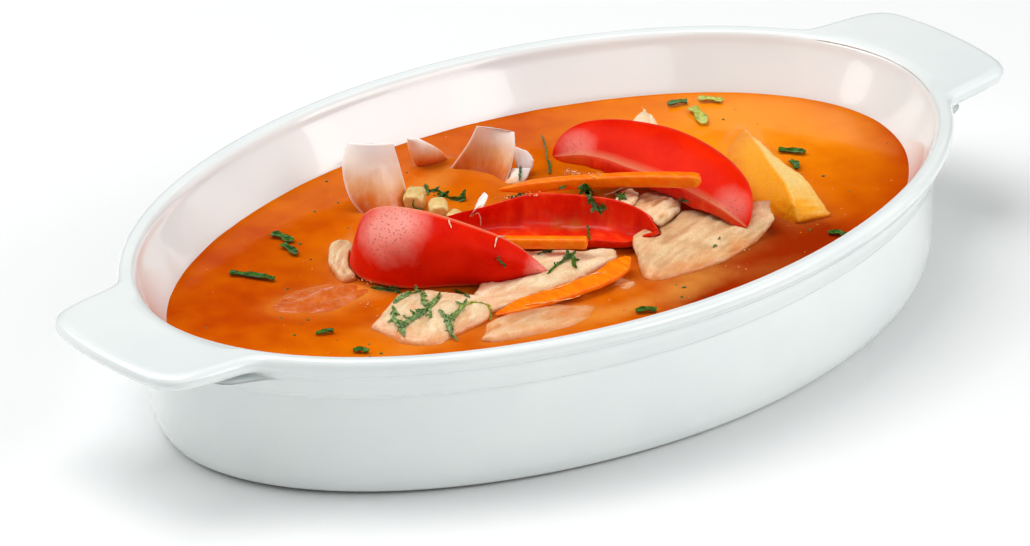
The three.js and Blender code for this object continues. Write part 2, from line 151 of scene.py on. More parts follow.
def loft(rings, caps=True):
    """Points and faces of a skin over rings of equal counts, closed at both ends by fans."""
    rings = np.asarray(rings, float)
    rows, count, _ = rings.shape
    points = rings.reshape(-1, 3)
    around = np.arange(count)
    beside = np.roll(around, -1)
    faces = []
    for row in range(rows - 1):
        low, high = row * count, (row + 1) * count
        faces += np.stack([low + around, low + beside, high + beside, high + around], axis=1).tolist()
    if caps:
        for row, pair in ((0, (beside, around)), (rows - 1, (around, beside))):
            tip = len(points)
            points = np.vstack([points, rings[row].mean(axis=0)])
            faces += [[row * count + i, row * count + j, tip] for i, j in zip(*pair)]
    corners = np.array([face[:3] for face in faces])
    a, b, c = (points[corners[:, k]] - points.mean(axis=0) for k in range(3))
    if (a * np.cross(b, c)).sum() < 0:
        faces = [face[::-1] for face in faces]
    return points, faces


def make(name, points, faces, materials, slot, nodes=(), kinds=None, tones=None):
    """A piece of the scene from points in millimetres. `kinds` gives each face its material."""
    mesh = bpy.data.meshes.new(name)
    mesh.from_pydata((np.asarray(points) * MM).tolist(), [], faces)
    mesh.shade_smooth()
    for material in materials:
        mesh.materials.append(material)
    if kinds is not None:
        mesh.polygons.foreach_set("material_index", np.asarray(kinds, np.int32))
    for key, values in (tones or {}).items():
        mesh.attributes.new(key, "FLOAT", "POINT").data.foreach_set("value", np.asarray(values, np.float32))
    piece = bpy.data.objects.new(name, mesh)
    bpy.context.collection.objects.link(piece)
    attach(piece, "root")
    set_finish(piece, slot)
    if nodes:
        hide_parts(*nodes)
    return piece


def refined(node, voxel, smoothing):
    """A fine, softened copy of a CAD node's mesh: points in millimetres, their normals, and faces."""
    source = bpy.data.objects.new("source", frame["nodes"][node].data.copy())
    bpy.context.collection.objects.link(source)
    remesh = source.modifiers.new("remesh", "REMESH")
    remesh.mode = "VOXEL"
    remesh.voxel_size = voxel * MM
    smooth = source.modifiers.new("smooth", "SMOOTH")
    smooth.factor = 0.6
    smooth.iterations = smoothing
    fine = bpy.data.meshes.new_from_object(source.evaluated_get(bpy.context.evaluated_depsgraph_get()))
    points = np.empty(3 * len(fine.vertices))
    normals = np.empty(3 * len(fine.vertices))
    fine.vertices.foreach_get("co", points)
    fine.vertices.foreach_get("normal", normals)
    faces = [list(polygon.vertices) for polygon in fine.polygons]
    bpy.data.objects.remove(source)
    bpy.data.meshes.remove(fine)
    return points.reshape(-1, 3) / MM, normals.reshape(-1, 3), faces


# ---- Materials ----


def colour(red, green, blue):
    """A colour on the screen's scale of 0 to 255, as the shaders' linear numbers."""
    parts = [value / 255 for value in (red, green, blue)]
    return [p / 12.92 if p <= 0.04045 else ((p + 0.055) / 1.055) ** 2.4 for p in parts] + [1]


class Finish:
    """A material with a Principled shader, and short ways to add nodes to it."""

    def __init__(self, name, **values):
        self.material = bpy.data.materials.new(name)
        self.material.use_nodes = True
        self.tree = self.material.node_tree
        self.shader = self.tree.nodes["Principled BSDF"]
        for key, value in values.items():
            self.shader.inputs[key.replace("_", " ")].default_value = value
        self.place = self.tree.nodes.new("ShaderNodeTexCoord").outputs["Object"]

    def node(self, kind, links=None, values=None, **settings):
        node = self.tree.nodes.new(kind)
        for key, value in settings.items():
            setattr(node, key, value)
        for key, value in (values or {}).items():
            node.inputs[key].default_value = value
        for key, socket in (links or {}).items():
            self.tree.links.new(socket, node.inputs[key])
        return node

    def join(self, socket, name):
        self.tree.links.new(socket, self.shader.inputs[name])

    def stretched(self, stretch, turn=(0, 0, 0)):
        mapping = self.node("ShaderNodeMapping", {"Vector": self.place}, {"Scale": stretch, "Rotation": turn})
        return mapping.outputs["Vector"]

    def noise(self, size, detail=4, roughness=0.55, place=None):
        """Noise with features `size` millimetres wide."""
        values = {"Scale": 1 / (size * MM), "Detail": detail, "Roughness": roughness}
        return self.node("ShaderNodeTexNoise", {"Vector": place or self.place}, values).outputs["Fac"]

    def cells(self, size, place=None, **settings):
        values = {"Scale": 1 / (size * MM)}
        node = self.node("ShaderNodeTexVoronoi", {"Vector": place or self.place}, values, **settings)
        return node.outputs["Distance"]

    def tone(self, name):
        return self.node("ShaderNodeAttribute", attribute_name=name).outputs["Fac"]

    def ramp(self, fac, stops):
        node = self.node("ShaderNodeValToRGB", {"Fac": fac})
        elements = node.color_ramp.elements
        while len(elements) < len(stops):
            elements.new(0.5)
        for element, (position, value) in zip(elements, stops):
            element.position = position
            element.color = value
        return node.outputs["Color"]

    def level(self, fac, low, high, start=0.0, end=1.0):
        values = {"From Min": low, "From Max": high, "To Min": start, "To Max": end}
        return self.node("ShaderNodeMapRange", {"Value": fac}, values).outputs["Result"]

    def math(self, operation, first, second):
        node = self.node("ShaderNodeMath", operation=operation)
        for index, value in enumerate((first, second)):
            if isinstance(value, (int, float)):
                node.inputs[index].default_value = value
            else:
                self.tree.links.new(value, node.inputs[index])
        return node.outputs["Value"]

    def mixed(self, fac, first, second):
        node = self.node("ShaderNodeMix", {"Factor": fac}, data_type="RGBA")
        for socket, value in ((node.inputs[6], first), (node.inputs[7], second)):
            if isinstance(value, list):
                socket.default_value = value
            else:
                self.tree.links.new(value, socket)
        return node.outputs[2]

    def bumps(self, *layers):
        """Relief from (height, strength, depth in millimetres), each laid on the one before."""
        normal = None
        for height, strength, depth in layers:
            links = {"Height": height}
            if normal:
                links["Normal"] = normal
            node = self.node("ShaderNodeBump", links, {"Strength": strength, "Distance": depth * MM})
            normal = node.outputs["Normal"]
        self.join(normal, "Normal")


def porcelain():
    look = Finish("porcelain", Roughness=0.12, Coat_Weight=0.6, Coat_Roughness=0.04, IOR=1.5)
    look.join(look.ramp(look.noise(34, detail=2), [(0.35, colour(236, 242, 241)), (0.7, colour(243, 248, 246))]),
              "Base Color")
    look.join(look.level(look.noise(60, detail=2), 0.3, 0.7, 0.12, 0.2), "Roughness")
    look.bumps((look.noise(14, detail=2), 0.1, 0.2))
    return look.material


def bare_clay():
    look = Finish("bare_clay", Roughness=0.75)
    look.join(look.ramp(look.noise(1.2), [(0.3, colour(214, 208, 196)), (0.7, colour(229, 224, 214))]), "Base Color")
    look.bumps((look.noise(0.5), 0.4, 0.1))
    return look.material


def broth_look():
    look = Finish("broth", Roughness=0.1, IOR=1.2, Specular_IOR_Level=0.2,
                  Subsurface_Weight=0.12, Subsurface_Scale=0.003, Subsurface_Radius=(1.0, 0.35, 0.05))
    # The tone mixes the broth's own murk with shade of the near wall, painted in through SHADES.
    base = look.ramp(look.tone("murk_and_shade"), [(0.0, colour(150, 38, 0)), (0.25, colour(188, 68, 0)),
                                         (0.55, colour(216, 104, 1)), (0.8, colour(234, 124, 4)),
                                         (1.0, colour(248, 144, 18))])
    pale = look.mixed(look.tone("pale"), base, colour(238, 164, 72))
    # A deeper red painted by the near right wall: painted shade and dark reflection of that wall.
    red = look.mixed(look.tone("wall"), pale, colour(184, 52, 0))
    grain = look.level(look.noise(0.8, detail=5, roughness=0.7), 0.54, 0.74)
    look.join(look.mixed(look.math("MULTIPLY", grain, 0.16), red, colour(176, 48, 0)), "Base Color")
    look.bumps((look.noise(6, detail=3), 0.2, 0.2))
    return look.material


def tomato_skin():
    look = Finish("tomato_skin", Roughness=0.4, IOR=1.42, Specular_IOR_Level=0.05, Coat_Roughness=0.4,
                  Subsurface_Weight=0.15, Subsurface_Scale=0.003, Subsurface_Radius=(1.0, 0.12, 0.05))
    red = look.ramp(look.noise(12), [(0.3, colour(214, 16, 0)), (0.7, colour(240, 38, 2))])
    # A highlight is painted on the skin as a pale pink tint at the wedge's listed places, where the coat is also
    # thicker and dark specks gather.
    painted_highlight_and_pool = look.mixed(look.math("MULTIPLY", look.tone("painted_highlight_and_pool"), 0.62), red, colour(252, 176, 158))
    edge = look.mixed(look.math("MULTIPLY", look.tone("edge"), 0.6), painted_highlight_and_pool, colour(250, 178, 132))
    speck = look.level(look.cells(0.85, feature="F1"), 0.18, 0.34, 1, 0)
    patch = look.level(look.noise(7, detail=2), 0.5, 0.7, 0, 0.7)
    dotted = look.math("MULTIPLY", speck, look.math("MAXIMUM", patch, look.tone("painted_highlight_and_pool")))
    look.join(look.mixed(look.math("MULTIPLY", dotted, 0.6), edge, colour(150, 20, 10)), "Base Color")
    look.join(look.level(look.tone("painted_highlight_and_pool"), 0, 1, 0.01, 0.6), "Coat Weight")
    look.bumps((look.noise(6, detail=2), 0.15, 0.3), (dotted, 0.5, 0.12), (look.noise(0.45), 0.1, 0.06))
    return look.material


def tomato_flesh():
    look = Finish("tomato_flesh", Roughness=0.28, IOR=1.4, Specular_IOR_Level=0.3,
                  Coat_Weight=0.12, Coat_Roughness=0.12,
                  Subsurface_Weight=0.3, Subsurface_Scale=0.003, Subsurface_Radius=(1.0, 0.16, 0.06))
    veins = look.noise(3.4, detail=4, place=look.stretched((1, 1, 0.4)))
    red = look.ramp(veins, [(0.3, colour(222, 24, 4)), (0.55, colour(240, 46, 10)), (0.8, colour(252, 92, 36))])
    pooled = look.mixed(look.tone("painted_highlight_and_pool"), red, colour(222, 104, 26))
    look.join(look.mixed(look.tone("edge"), pooled, colour(240, 88, 54)), "Base Color")
    look.bumps((look.noise(4, detail=2), 0.2, 0.3), (look.noise(0.6), 0.1, 0.06))
    return look.material


def carrot_look():
    look = Finish("carrot", Roughness=0.34, IOR=1.4, Specular_IOR_Level=0.3,
                  Coat_Weight=0.08, Coat_Roughness=0.12,
                  Subsurface_Weight=0.3, Subsurface_Scale=0.002, Subsurface_Radius=(1.0, 0.4, 0.08))
    fibre = look.noise(2.2, detail=3, place=look.stretched((1.6, 0.45, 1.6), (0, 0, math.radians(-30))))
    orange = look.ramp(fibre, [(0.3, colour(255, 108, 0)), (0.55, colour(255, 130, 2)), (0.8, colour(255, 156, 18))])
    look.join(look.mixed(look.tone("soak"), orange, colour(232, 66, 0)), "Base Color")
    look.bumps((fibre, 0.12, 0.12), (look.noise(0.4), 0.08, 0.05))
    return look.material


def fish_look():
    look = Finish("fish", Roughness=0.42, IOR=1.4, Coat_Weight=0.2, Coat_Roughness=0.2,
                  Subsurface_Weight=0.35, Subsurface_Scale=0.003, Subsurface_Radius=(1.0, 0.6, 0.35))
    # The fibre tone is lighter on raised flakes and darker where they sink in: painted shade in the crevices, over the
    # fibres' own streaks.
    cream = look.ramp(look.tone("fibre"), [(0.1, colour(186, 132, 84)), (0.35, colour(226, 190, 142)),
                                           (0.6, colour(240, 214, 174)), (0.95, colour(248, 232, 204))])
    curd = look.noise(0.55, detail=3, roughness=0.7)
    mottled = look.mixed(look.level(curd, 0.5, 0.7, 0, 0.5), cream, colour(206, 156, 104))
    flecked = look.mixed(look.level(curd, 0.4, 0.28, 0, 0.6), mottled, colour(255, 246, 228))
    blush = look.mixed(look.level(look.noise(6, detail=3), 0.5, 0.72, 0, 0.5), flecked, colour(216, 152, 104))
    rosy = look.mixed(look.tone("brown"), blush, colour(172, 104, 74))
    look.join(look.mixed(look.tone("soak"), rosy, colour(226, 122, 24)), "Base Color")
    look.join(look.level(look.tone("soak"), 0, 1, 0.42, 0.15), "Roughness")
    look.bumps((curd, 0.35, 0.14))
    return look.material


def onion_look():
    look = Finish("onion", Roughness=0.24, IOR=1.4, Specular_IOR_Level=0.3, Coat_Weight=0.2, Coat_Roughness=0.1,
                  Subsurface_Weight=0.2, Subsurface_Scale=0.0012, Subsurface_Radius=(1.0, 0.7, 0.45))
    veins = look.noise(1.5, detail=3, place=look.stretched((1.2, 1.2, 0.16)))
    depth = look.ramp(look.tone("soak"), [(0.0, colour(255, 250, 244)), (0.3, colour(250, 230, 214)),
                                          (0.55, colour(236, 182, 128)), (0.78, colour(222, 122, 42)),
                                          (1.0, colour(202, 88, 14))])
    pale = look.level(look.tone("soak"), 0.3, 1.0, 0.3, 0.05)
    streaked = look.mixed(look.math("MULTIPLY", look.level(veins, 0.45, 0.75), pale), depth, colour(255, 244, 234))
    blush = look.mixed(look.level(look.noise(5, detail=2), 0.52, 0.75, 0, 0.3), streaked, colour(220, 160, 136))
    # The edges and ends are painted near-white: painted rim light, from light shining through the thin petal.
    look.join(look.mixed(look.math("MULTIPLY", look.tone("edge"), 0.85), blush, colour(255, 250, 244)), "Base Color")
    look.bumps((veins, 0.12, 0.12))
    return look.material


def potato_look():
    look = Finish("potato", Roughness=0.42, IOR=1.4, Specular_IOR_Level=0.3, Coat_Weight=0.05,
                  Subsurface_Weight=0.15, Subsurface_Scale=0.002, Subsurface_Radius=(1.0, 0.6, 0.15))
    grain = look.noise(0.9, detail=5, roughness=0.7)
    pale = look.ramp(grain, [(0.3, colour(236, 184, 86)), (0.55, colour(246, 208, 124)), (0.8, colour(252, 228, 166))])
    deep = look.ramp(grain, [(0.3, colour(246, 152, 4)), (0.7, colour(252, 180, 24))])
    body = look.mixed(look.tone("side"), pale, deep)
    look.join(look.mixed(look.tone("soak"), body, colour(228, 116, 8)), "Base Color")
    look.bumps((look.noise(1.6, detail=3), 0.5, 0.5), (grain, 0.7, 0.35))
    return look.material


def celery_look():
    look = Finish("celery", Roughness=0.25, IOR=1.4, Coat_Weight=0.4, Subsurface_Weight=0.5, Subsurface_Scale=0.003,
                  Subsurface_Radius=(0.9, 0.8, 0.4))
    body = look.ramp(look.noise(1.6), [(0.3, colour(214, 182, 112)), (0.7, colour(236, 212, 150))])
    look.join(look.mixed(look.tone("soak"), body, colour(214, 150, 60)), "Base Color")
    look.bumps((look.noise(0.8), 0.2, 0.15))
    return look.material


def green_look(name, dark, light, size=1.4):
    look = Finish(name, Roughness=0.3, IOR=1.4, Coat_Weight=0.4, Coat_Roughness=0.1,
                  Subsurface_Weight=0.15, Subsurface_Scale=0.001, Subsurface_Radius=(0.4, 1.0, 0.2))
    look.join(look.ramp(look.noise(size), [(0.35, colour(*dark)), (0.65, colour(*light))]), "Base Color")
    look.bumps((look.noise(0.5), 0.5, 0.15))
    return look.material


def strand_look():
    look = Finish("strand", Roughness=0.25, IOR=1.4, Coat_Weight=0.4, Coat_Roughness=0.1,
                  Subsurface_Weight=0.4, Subsurface_Scale=0.001, Subsurface_Radius=(1.0, 0.7, 0.4))
    look.join(look.ramp(look.noise(1.5), [(0.35, colour(216, 150, 96)), (0.65, colour(255, 240, 218))]), "Base Color")
    return look.material


def bubble_look():
    look = Finish("bubble", Roughness=0.05, IOR=1.3, Coat_Weight=0.6, Coat_Roughness=0.02)
    look.join(look.ramp(look.noise(3), [(0.3, colour(214, 98, 4)), (0.7, colour(236, 130, 20))]), "Base Color")
    return look.material


# Painted highlights: pale, glossy ribbons laid on the broth where it shines.
def painted_gleam_look():
    look = Finish("painted_gleam", Roughness=0.1, IOR=1.4, Coat_Weight=0.6, Coat_Roughness=0.04)
    look.join(look.ramp(look.noise(2), [(0.4, colour(250, 150, 50)), (0.6, colour(255, 222, 168))]), "Base Color")
    return look.material


def froth_look():
    look = Finish("froth", Roughness=0.08, IOR=1.35, Coat_Weight=0.8, Coat_Roughness=0.03)
    look.join(look.ramp(look.noise(0.7), [(0.4, colour(206, 112, 40)), (0.6, colour(246, 206, 156))]), "Base Color")
    return look.material


def floor_look():
    look = Finish("floor", Roughness=0.7)
    look.join(look.ramp(look.noise(400, detail=2), [(0.3, colour(240, 241, 241)), (0.7, colour(244, 245, 245))]),
              "Base Color")
    return look.material


PORCELAIN = porcelain()
BARE_CLAY = bare_clay()
BROTH = broth_look()
TOMATO_SKIN = tomato_skin()
TOMATO_FLESH = tomato_flesh()
CARROT = carrot_look()
FISH = fish_look()
ONION = onion_look()
POTATO = potato_look()
CELERY = celery_look()
HERB = green_look("herb", (16, 56, 6), (70, 120, 24))
PARSLEY = green_look("parsley", (40, 84, 24), (150, 182, 104), 0.9)
SCALLION = green_look("scallion", (142, 158, 18), (206, 208, 96))
STRAND = strand_look()
BUBBLE = bubble_look()
FROTH = froth_look()
PAINTED_GLEAM = painted_gleam_look()

# ---- Dish ----


def reach(cos, sin, a, b, power):
    """Distance from the middle to a superellipse, in the direction given."""
    return ((np.abs(cos) / a) ** power + (np.abs(sin) / b) ** power) ** (-1 / power)


def dish_ring(angles, inset, z, handles=0.0, trim=0.0):
    """One outline of the dish, `inset` inside the rim, with that share of the handles."""
    cos, sin = np.cos(angles), np.sin(angles)
    r = reach(cos, sin, RIM_LENGTH / 2 - inset, RIM_WIDTH / 2 - inset, RIM_POWER)
    if handles > 0:
        span = RIM_LENGTH / 2 + (HANDLE_REACH - RIM_LENGTH / 2) * handles - trim
        grip = reach(cos, sin, span, HANDLE_HALF_WIDTH - trim, HANDLE_POWER)
        bow = HANDLE_BOW * handles * np.minimum(1, np.abs(grip * sin) / (HANDLE_HALF_WIDTH * 0.8)) ** 2
        lead = (grip - bow - r) / HANDLE_BLEND
        r = r + HANDLE_BLEND * np.log1p(np.exp(np.minimum(lead, 50))) * (lead > -4)
    return np.stack([r * cos, r * sin, np.full_like(r, z)], axis=1)


def dish_angles(count):
    """Directions round the dish, closer together on the handles."""
    fine = np.linspace(0, 2 * math.pi, 7200, endpoint=False)
    rim = dish_ring(fine, 0, 0, 1)
    steps = np.linalg.norm(np.roll(rim, -1, axis=0) - rim, axis=1)
    steps *= np.where(np.abs(rim[:, 0]) > RIM_LENGTH * 0.43, 2.2, 1)
    travelled = np.concatenate([[0], np.cumsum(steps)])
    return np.interp(np.arange(count) / count * travelled[-1], travelled, np.append(fine, 2 * math.pi))


# The section from the foot up the outside, over the lip and down to the floor, as (inset, height, share of
# the handles, trim of the handles). Points close together keep an edge crisp.
SECTION = [
    (18.4, 1.1, 0, 0), (17.6, 0.9, 0, 0), (17.0, 0.1, 0, 0), (16.4, 0, 0, 0), (13.0, 0, 0, 0), (12.2, 0.1, 0, 0),
    (9.0, 1.7, 0, 0), (7.2, 5.2, 0, 0), (6.5, 10, 0, 0), (6.1, 20, 0, 0), (5.65, 28.6, 0, 0), (5.5, 29.4, 0, 0),
    (4.7, 30.0, 0, 0), (4.3, 30.5, 0, 0), (3.5, 32.5, 0, 0), (2.7, 34.6, 0, 0), (2.4, 35.8, 0.3, 7),
    (2.2, 36.4, 0.7, 4.6), (1.9, 36.9, 1, 3.2), (1.3, 37.5, 1, 1.7), (0.7, 38.4, 1, 0.6), (0.1, 39.4, 1, 0.1),
    (0.05, 40.3, 1, 0.05), (0.5, 41.3, 1, 0.6), (1.1, 41.8, 1, 1.4), (1.9, 42, 1, 2.4), (2.5, 41.95, 0.75, 4),
    (3.0, 41.9, 0.4, 6.5), (3.5, 41.85, 0.1, 8), (4.1, 41.6, 0, 9), (4.6, 41.1, 0, 9), (5.0, 40.4, 0, 0),
    (5.7, 38.8, 0, 0), (9.1, 33, 0, 0), (12.6, 27, 0, 0), (15.4, 19, 0, 0), (17.5, 13, 0, 0), (21, 7, 0, 0),
    (27, 4.6, 0, 0), (36, 4.5, 0, 0),
]


def dish():
    angles = dish_angles(DISH_ANGLES)
    stations = np.linspace(0, 1, 4 * len(SECTION) - 3)
    section = np.stack([line_through(np.array(SECTION)[:, k : k + 1], stations)[:, 0] for k in range(4)], axis=1)
    section[:, 1] = np.clip(section[:, 1], 0, DISH_HEIGHT)
    section[:, 2] = np.clip(section[:, 2], 0, 1)
    rings = [dish_ring(angles, inset, z, handles, trim) for inset, z, handles, trim in section]
    points, faces = loft(rings)
    points[:, 2] += 0.12 * layered(points, 60, 2, seed=5) * (points[:, 2] > 33) * (points[:, 2] < 41.6)
    foot = [max(points[face, 2]) < 0.6 and np.hypot(*(points[face, :2].mean(axis=0) / (120, 80))) > 0.5 for face in faces]
    make("dish_porcelain", points, faces, [PORCELAIN, BARE_CLAY], "porcelain", ["dish"], kinds=foot)


dish()

# ---- Tomato, onion and carrot ----

VIEWER = (-0.56, -0.71, 0.43)  # direction from the pile towards someone at the front left


def shell(near, far, bulge, out, wall, rib=0.0, along=110, across=34, open_ends=False, thin=0.0, facing=False):
    """Rings of a curved shell between two edge lines, as in the CAD model, with soft corners.
    Also gives, round a ring, 1 at an edge falling to 0 inside the faces, and the depth, 0 on the skin."""
    shares = np.linspace(0, 1, along) if open_ends else 0.5 - 0.5 * np.cos(np.linspace(0.02, math.pi - 0.02, along))
    a, b = line_through(near, shares), line_through(far, shares)
    ahead = np.minimum(shares + 1e-3, 1)
    behind = np.maximum(shares - 1e-3, 0)
    run = sum(unit(line_through(edge, ahead) - line_through(edge, behind)) for edge in (near, far))
    chord = b - a
    outward = unit(np.array(out, float))
    normal = np.tile(outward, (along, 1)) if facing else unit(np.cross(chord, run))
    normal *= np.where(normal @ outward < 0, -1, 1)[:, None]
    fullness = np.ones(along) if open_ends else np.sqrt(np.sin(math.pi * shares))
    depth = wall * fullness * (1 + rib * np.cos(6 * math.pi * shares))
    rim = max(5, int(across / 5))
    skin_v = np.linspace(0, 1, across)
    inner_v = np.linspace(0.94, 0.06, across)
    v = np.concatenate([skin_v, np.linspace(1, 0.94, rim)[1:-1], inner_v, np.linspace(0.06, 0, rim)[1:-1]])
    rise = np.linspace(0, 1, rim)[1:-1]
    drop = np.concatenate([np.zeros(across), rise, np.ones(across), rise[::-1]])
    taper = 1 - thin * np.abs(2 * v - 1) ** 3
    arch = 4 * v * (1 - v)
    rings = (a[:, None] + chord[:, None] * v[None, :, None]
             + normal[:, None] * (arch[None, :, None] * (bulge * fullness)[:, None, None]
                                  - (drop * taper)[None, :, None] * depth[:, None, None]))
    for _ in range(2):
        rings = 0.5 * rings + 0.25 * (np.roll(rings, 1, axis=1) + np.roll(rings, -1, axis=1))
    edge = np.clip(1 - np.minimum(v, 1 - v) / 0.05, 0, 1)
    return rings, edge, drop


def tomato(name, node, painted_highlight_and_pool, **shape):
    """A wedge with skin outside and flesh inside. The third argument lists places (x, y, z, radius, strength)
    where a highlight is painted on the skin as a pale tint, and where broth has pooled on the flesh."""
    rings, edge, drop = shell(**shape)
    skin = drop == 0
    edge = edge * np.clip(1 - 5 * drop, 0, 1)
    along, count, _ = rings.shape
    points, faces = loft(rings)
    wave = layered(points, 14, 2, seed=len(name))
    chamber = layered(points, 7, 2, seed=3 + len(name))
    edges = np.append(np.tile(edge, along), [1, 1])
    outside = np.append(np.tile(skin, along), [True, True])
    normal = unit(np.array(shape["out"], float))
    points += normal * (0.35 * wave * outside + 0.7 * chamber * ~outside * (1 - edges))[:, None]
    kinds = [0 if all(outside[face]) else 1 for face in faces]
    highlight_and_pool_strength = np.zeros(len(points))
    for x, y, z, radius, strength in painted_highlight_and_pool:
        away = np.linalg.norm(points - (x, y, z), axis=1) / radius + 0.25 * layered(points, 4, 3, seed=6)
        highlight_and_pool_strength = np.maximum(highlight_and_pool_strength, strength * np.clip(1.6 - 1.2 * away, 0, 1))
    tones = {"edge": edges, "painted_highlight_and_pool": highlight_and_pool_strength}
    make(node + "_wedge", points, faces, [TOMATO_SKIN, TOMATO_FLESH], "tomato", [node], kinds, tones)


# The front and back wedges list painted highlights on the skin; the middle wedge lists broth pooled in its hollow.
tomato("front", "tomato_front", [(-46, 4.5, 44.5, 9, 1), (-16, -20.8, 30.5, 5, 0.9)],
       near=[(-43.3, 22.6, 34.5), (-47, 20.5, 31), (-50, 16.9, 29), (-50.7, 12.7, 28), (-49.3, 5.3, 27.8),
             (-44.7, -1.2, 27.6), (-36.3, -7.2, 27.7), (-26.7, -14.9, 28), (-13.6, -20.6, 29)],
       far=[(-43.3, 22.6, 34.5), (-43.4, 20, 40), (-43.5, 15.9, 44), (-42.4, 11.3, 46.4), (-40.5, 5.3, 47.6),
            (-36.3, -1.7, 47), (-29.5, -9.3, 43.8), (-21.9, -15.3, 38.8), (-13.6, -20.6, 29)],
       bulge=7, out=VIEWER, wall=7, facing=True)
tomato("back", "tomato_back", [(22, 13, 41, 5, 0.6), (37, -32, 36, 4.5, 0.5)],
       near=[(19, 19, 38), (22.5, 9, 40.5), (25, -5, 41), (29, -18, 39.5), (33.5, -30, 36), (38, -37, 31)],
       far=[(19, 19, 38), (31, 20, 36), (43, 10, 34), (50, -4, 32), (49, -21, 30), (38, -37, 31)],
       bulge=10.8, out=(0.3, 0, 1), wall=7)
tomato("middle", "tomato_middle", [(0, 1.5, 30.5, 2.4, 0.9), (3, -2.5, 30.5, 2.4, 0.9), (6, -6, 30.5, 2.4, 0.9)],
       near=[(-19, 17, 33), (-12, 9, 37), (1, 1, 39.3), (13, -10, 37.8), (19, -20, 35), (17.5, -26.5, 32.5)],
       far=[(-19, 17, 33), (-17, 7, 29), (-7, -5, 28), (3, -13, 28), (11, -21, 28.5), (17.5, -26.5, 32.5)],
       bulge=8, out=(0.56, 0.71, -0.3), wall=6, rib=0.15)


def soaked(points, height=3.0):
    """1 where a piece stands in the broth, fading to 0 by `height` above it."""
    above = points[:, 2] - BROTH_LEVEL + 0.9 * layered(points, 5, 2, seed=9)
    return np.clip(1 - above / height, 0, 1)


def onion_soak(points, height):
    """How far the broth has coloured an onion petal: 1 at the broth, 0 at `height` above it."""
    above = (points[:, 2] - BROTH_LEVEL) / height
    return np.clip(1 - above + 0.14 * layered(points, 8, 2, seed=7), 0, 1)


def onion(name, node, soak, **shape):
    rings, edge, _ = shell(**shape)
    along, count, _ = rings.shape
    points, faces = loft(rings)
    fold = layered(points, 11, 2, seed=len(node))
    points += unit(np.array(shape["out"], float)) * (0.5 * fold)[:, None]
    # The edges and ends get the tone for the painted rim light.
    ends = np.clip(1 - np.minimum(np.arange(along), along - 1 - np.arange(along)) / 2, 0, 1)
    edges = np.append(np.maximum.outer(ends, edge).ravel(), [1, 1])
    make(name, points, faces, [ONION], "onion", [node], tones={"edge": edges, "soak": onion_soak(points, soak)})


onion("onion_left_petal", "onion_left", 16,
      near=[(-25, 43, 26), (-27, 47, 31), (-26, 51, 38), (-22.5, 53, 43.5)],
      far=[(-14, 38, 26), (-12.5, 41, 31), (-12, 44, 37), (-13, 45, 43)],
      bulge=3, out=VIEWER, wall=1.3, open_ends=True, thin=0.5, along=60)
onion("onion_lobe_petal", "onion_lobe", 9,
      near=[(0.6, 57.2, 36), (2.1, 58.6, 31), (3.5, 56.8, 26.5), (7.9, 55.1, 26.3), (12.3, 55.1, 27)],
      far=[(0.6, 57.2, 36), (2.6, 55.4, 36), (4.9, 53.4, 34.5), (8.3, 53.1, 31.5), (12.3, 55.1, 27)],
      bulge=2, out=VIEWER, wall=1.3, thin=0.4, along=50, facing=True)
onion("onion_back_petal", "onion_back", 14,
      near=[(8, 50.5, 26), (10, 48.5, 30), (12, 46, 35), (13.5, 44, 40)],
      far=[(14, 33, 26), (16, 33, 30), (18.5, 34, 35), (20.5, 36.5, 38.5)],
      bulge=3, out=(0.56, 0.71, -0.2), wall=1.3, open_ends=True, thin=0.5, along=60)


def carrot(name, node, path, width, height, ends=(0.5, 0.8), grow=1.0, along=70, around=28):
    shares = np.linspace(0, 1, along)
    line = line_through(path, shares)
    run = unit(np.gradient(line, axis=0))
    side = unit(np.cross(run, (0, 0, 1)))
    rise = np.cross(side, run)
    fade = np.minimum(1, np.minimum(ends[0] + 5 * shares, ends[1] + 5 * (1 - shares)))
    close = np.minimum(1, np.sqrt(np.minimum(shares, 1 - shares) * 60 + 0.15))
    fade = fade * (1 / grow + (1 - 1 / grow) * shares) * close
    turns = np.linspace(0, 2 * math.pi, around, endpoint=False)
    cos, sin = (np.sign(f(turns)) * np.abs(f(turns)) ** 0.5 for f in (np.cos, np.sin))
    rings = (line[:, None] + 0.5 * width * side[:, None] * (fade[:, None] * cos)[..., None]
             + 0.5 * height * rise[:, None] * (fade[:, None] * sin)[..., None])
    points, faces = loft(rings)
    points += 0.1 * np.stack([layered(points, 5, 2, seed=k) for k in (1, 2, 3)], axis=1)
    make(name, points, faces, [CARROT], "carrot", [node], tones={"soak": soaked(points, 2.2) * 0.9})


carrot("carrot_long_stick", "carrot_long", [(6, 26, 30), (15, 8, 35.5), (24, -12, 40.5), (31, -27, 43.2)],
       3.8, 3.8, ends=(0.25, 0.75), grow=1.25)
carrot("carrot_short_stick", "carrot_short", [(-19, -2, 33), (-10, -12, 33.5), (-2, -21, 34)], 3, 3,
       ends=(0.9, 0.95))
carrot("carrot_slice_strip", "carrot_slice", [(-38, -28, 28), (-22, -31, 28.9), (-5, -32, 29.4), (5, -29, 30.6)],
       6.4, 1.8, ends=(0.2, 0.25))

# ---- Fish, potato and celery: fine copies of the CAD solids with their flakes and grain ----


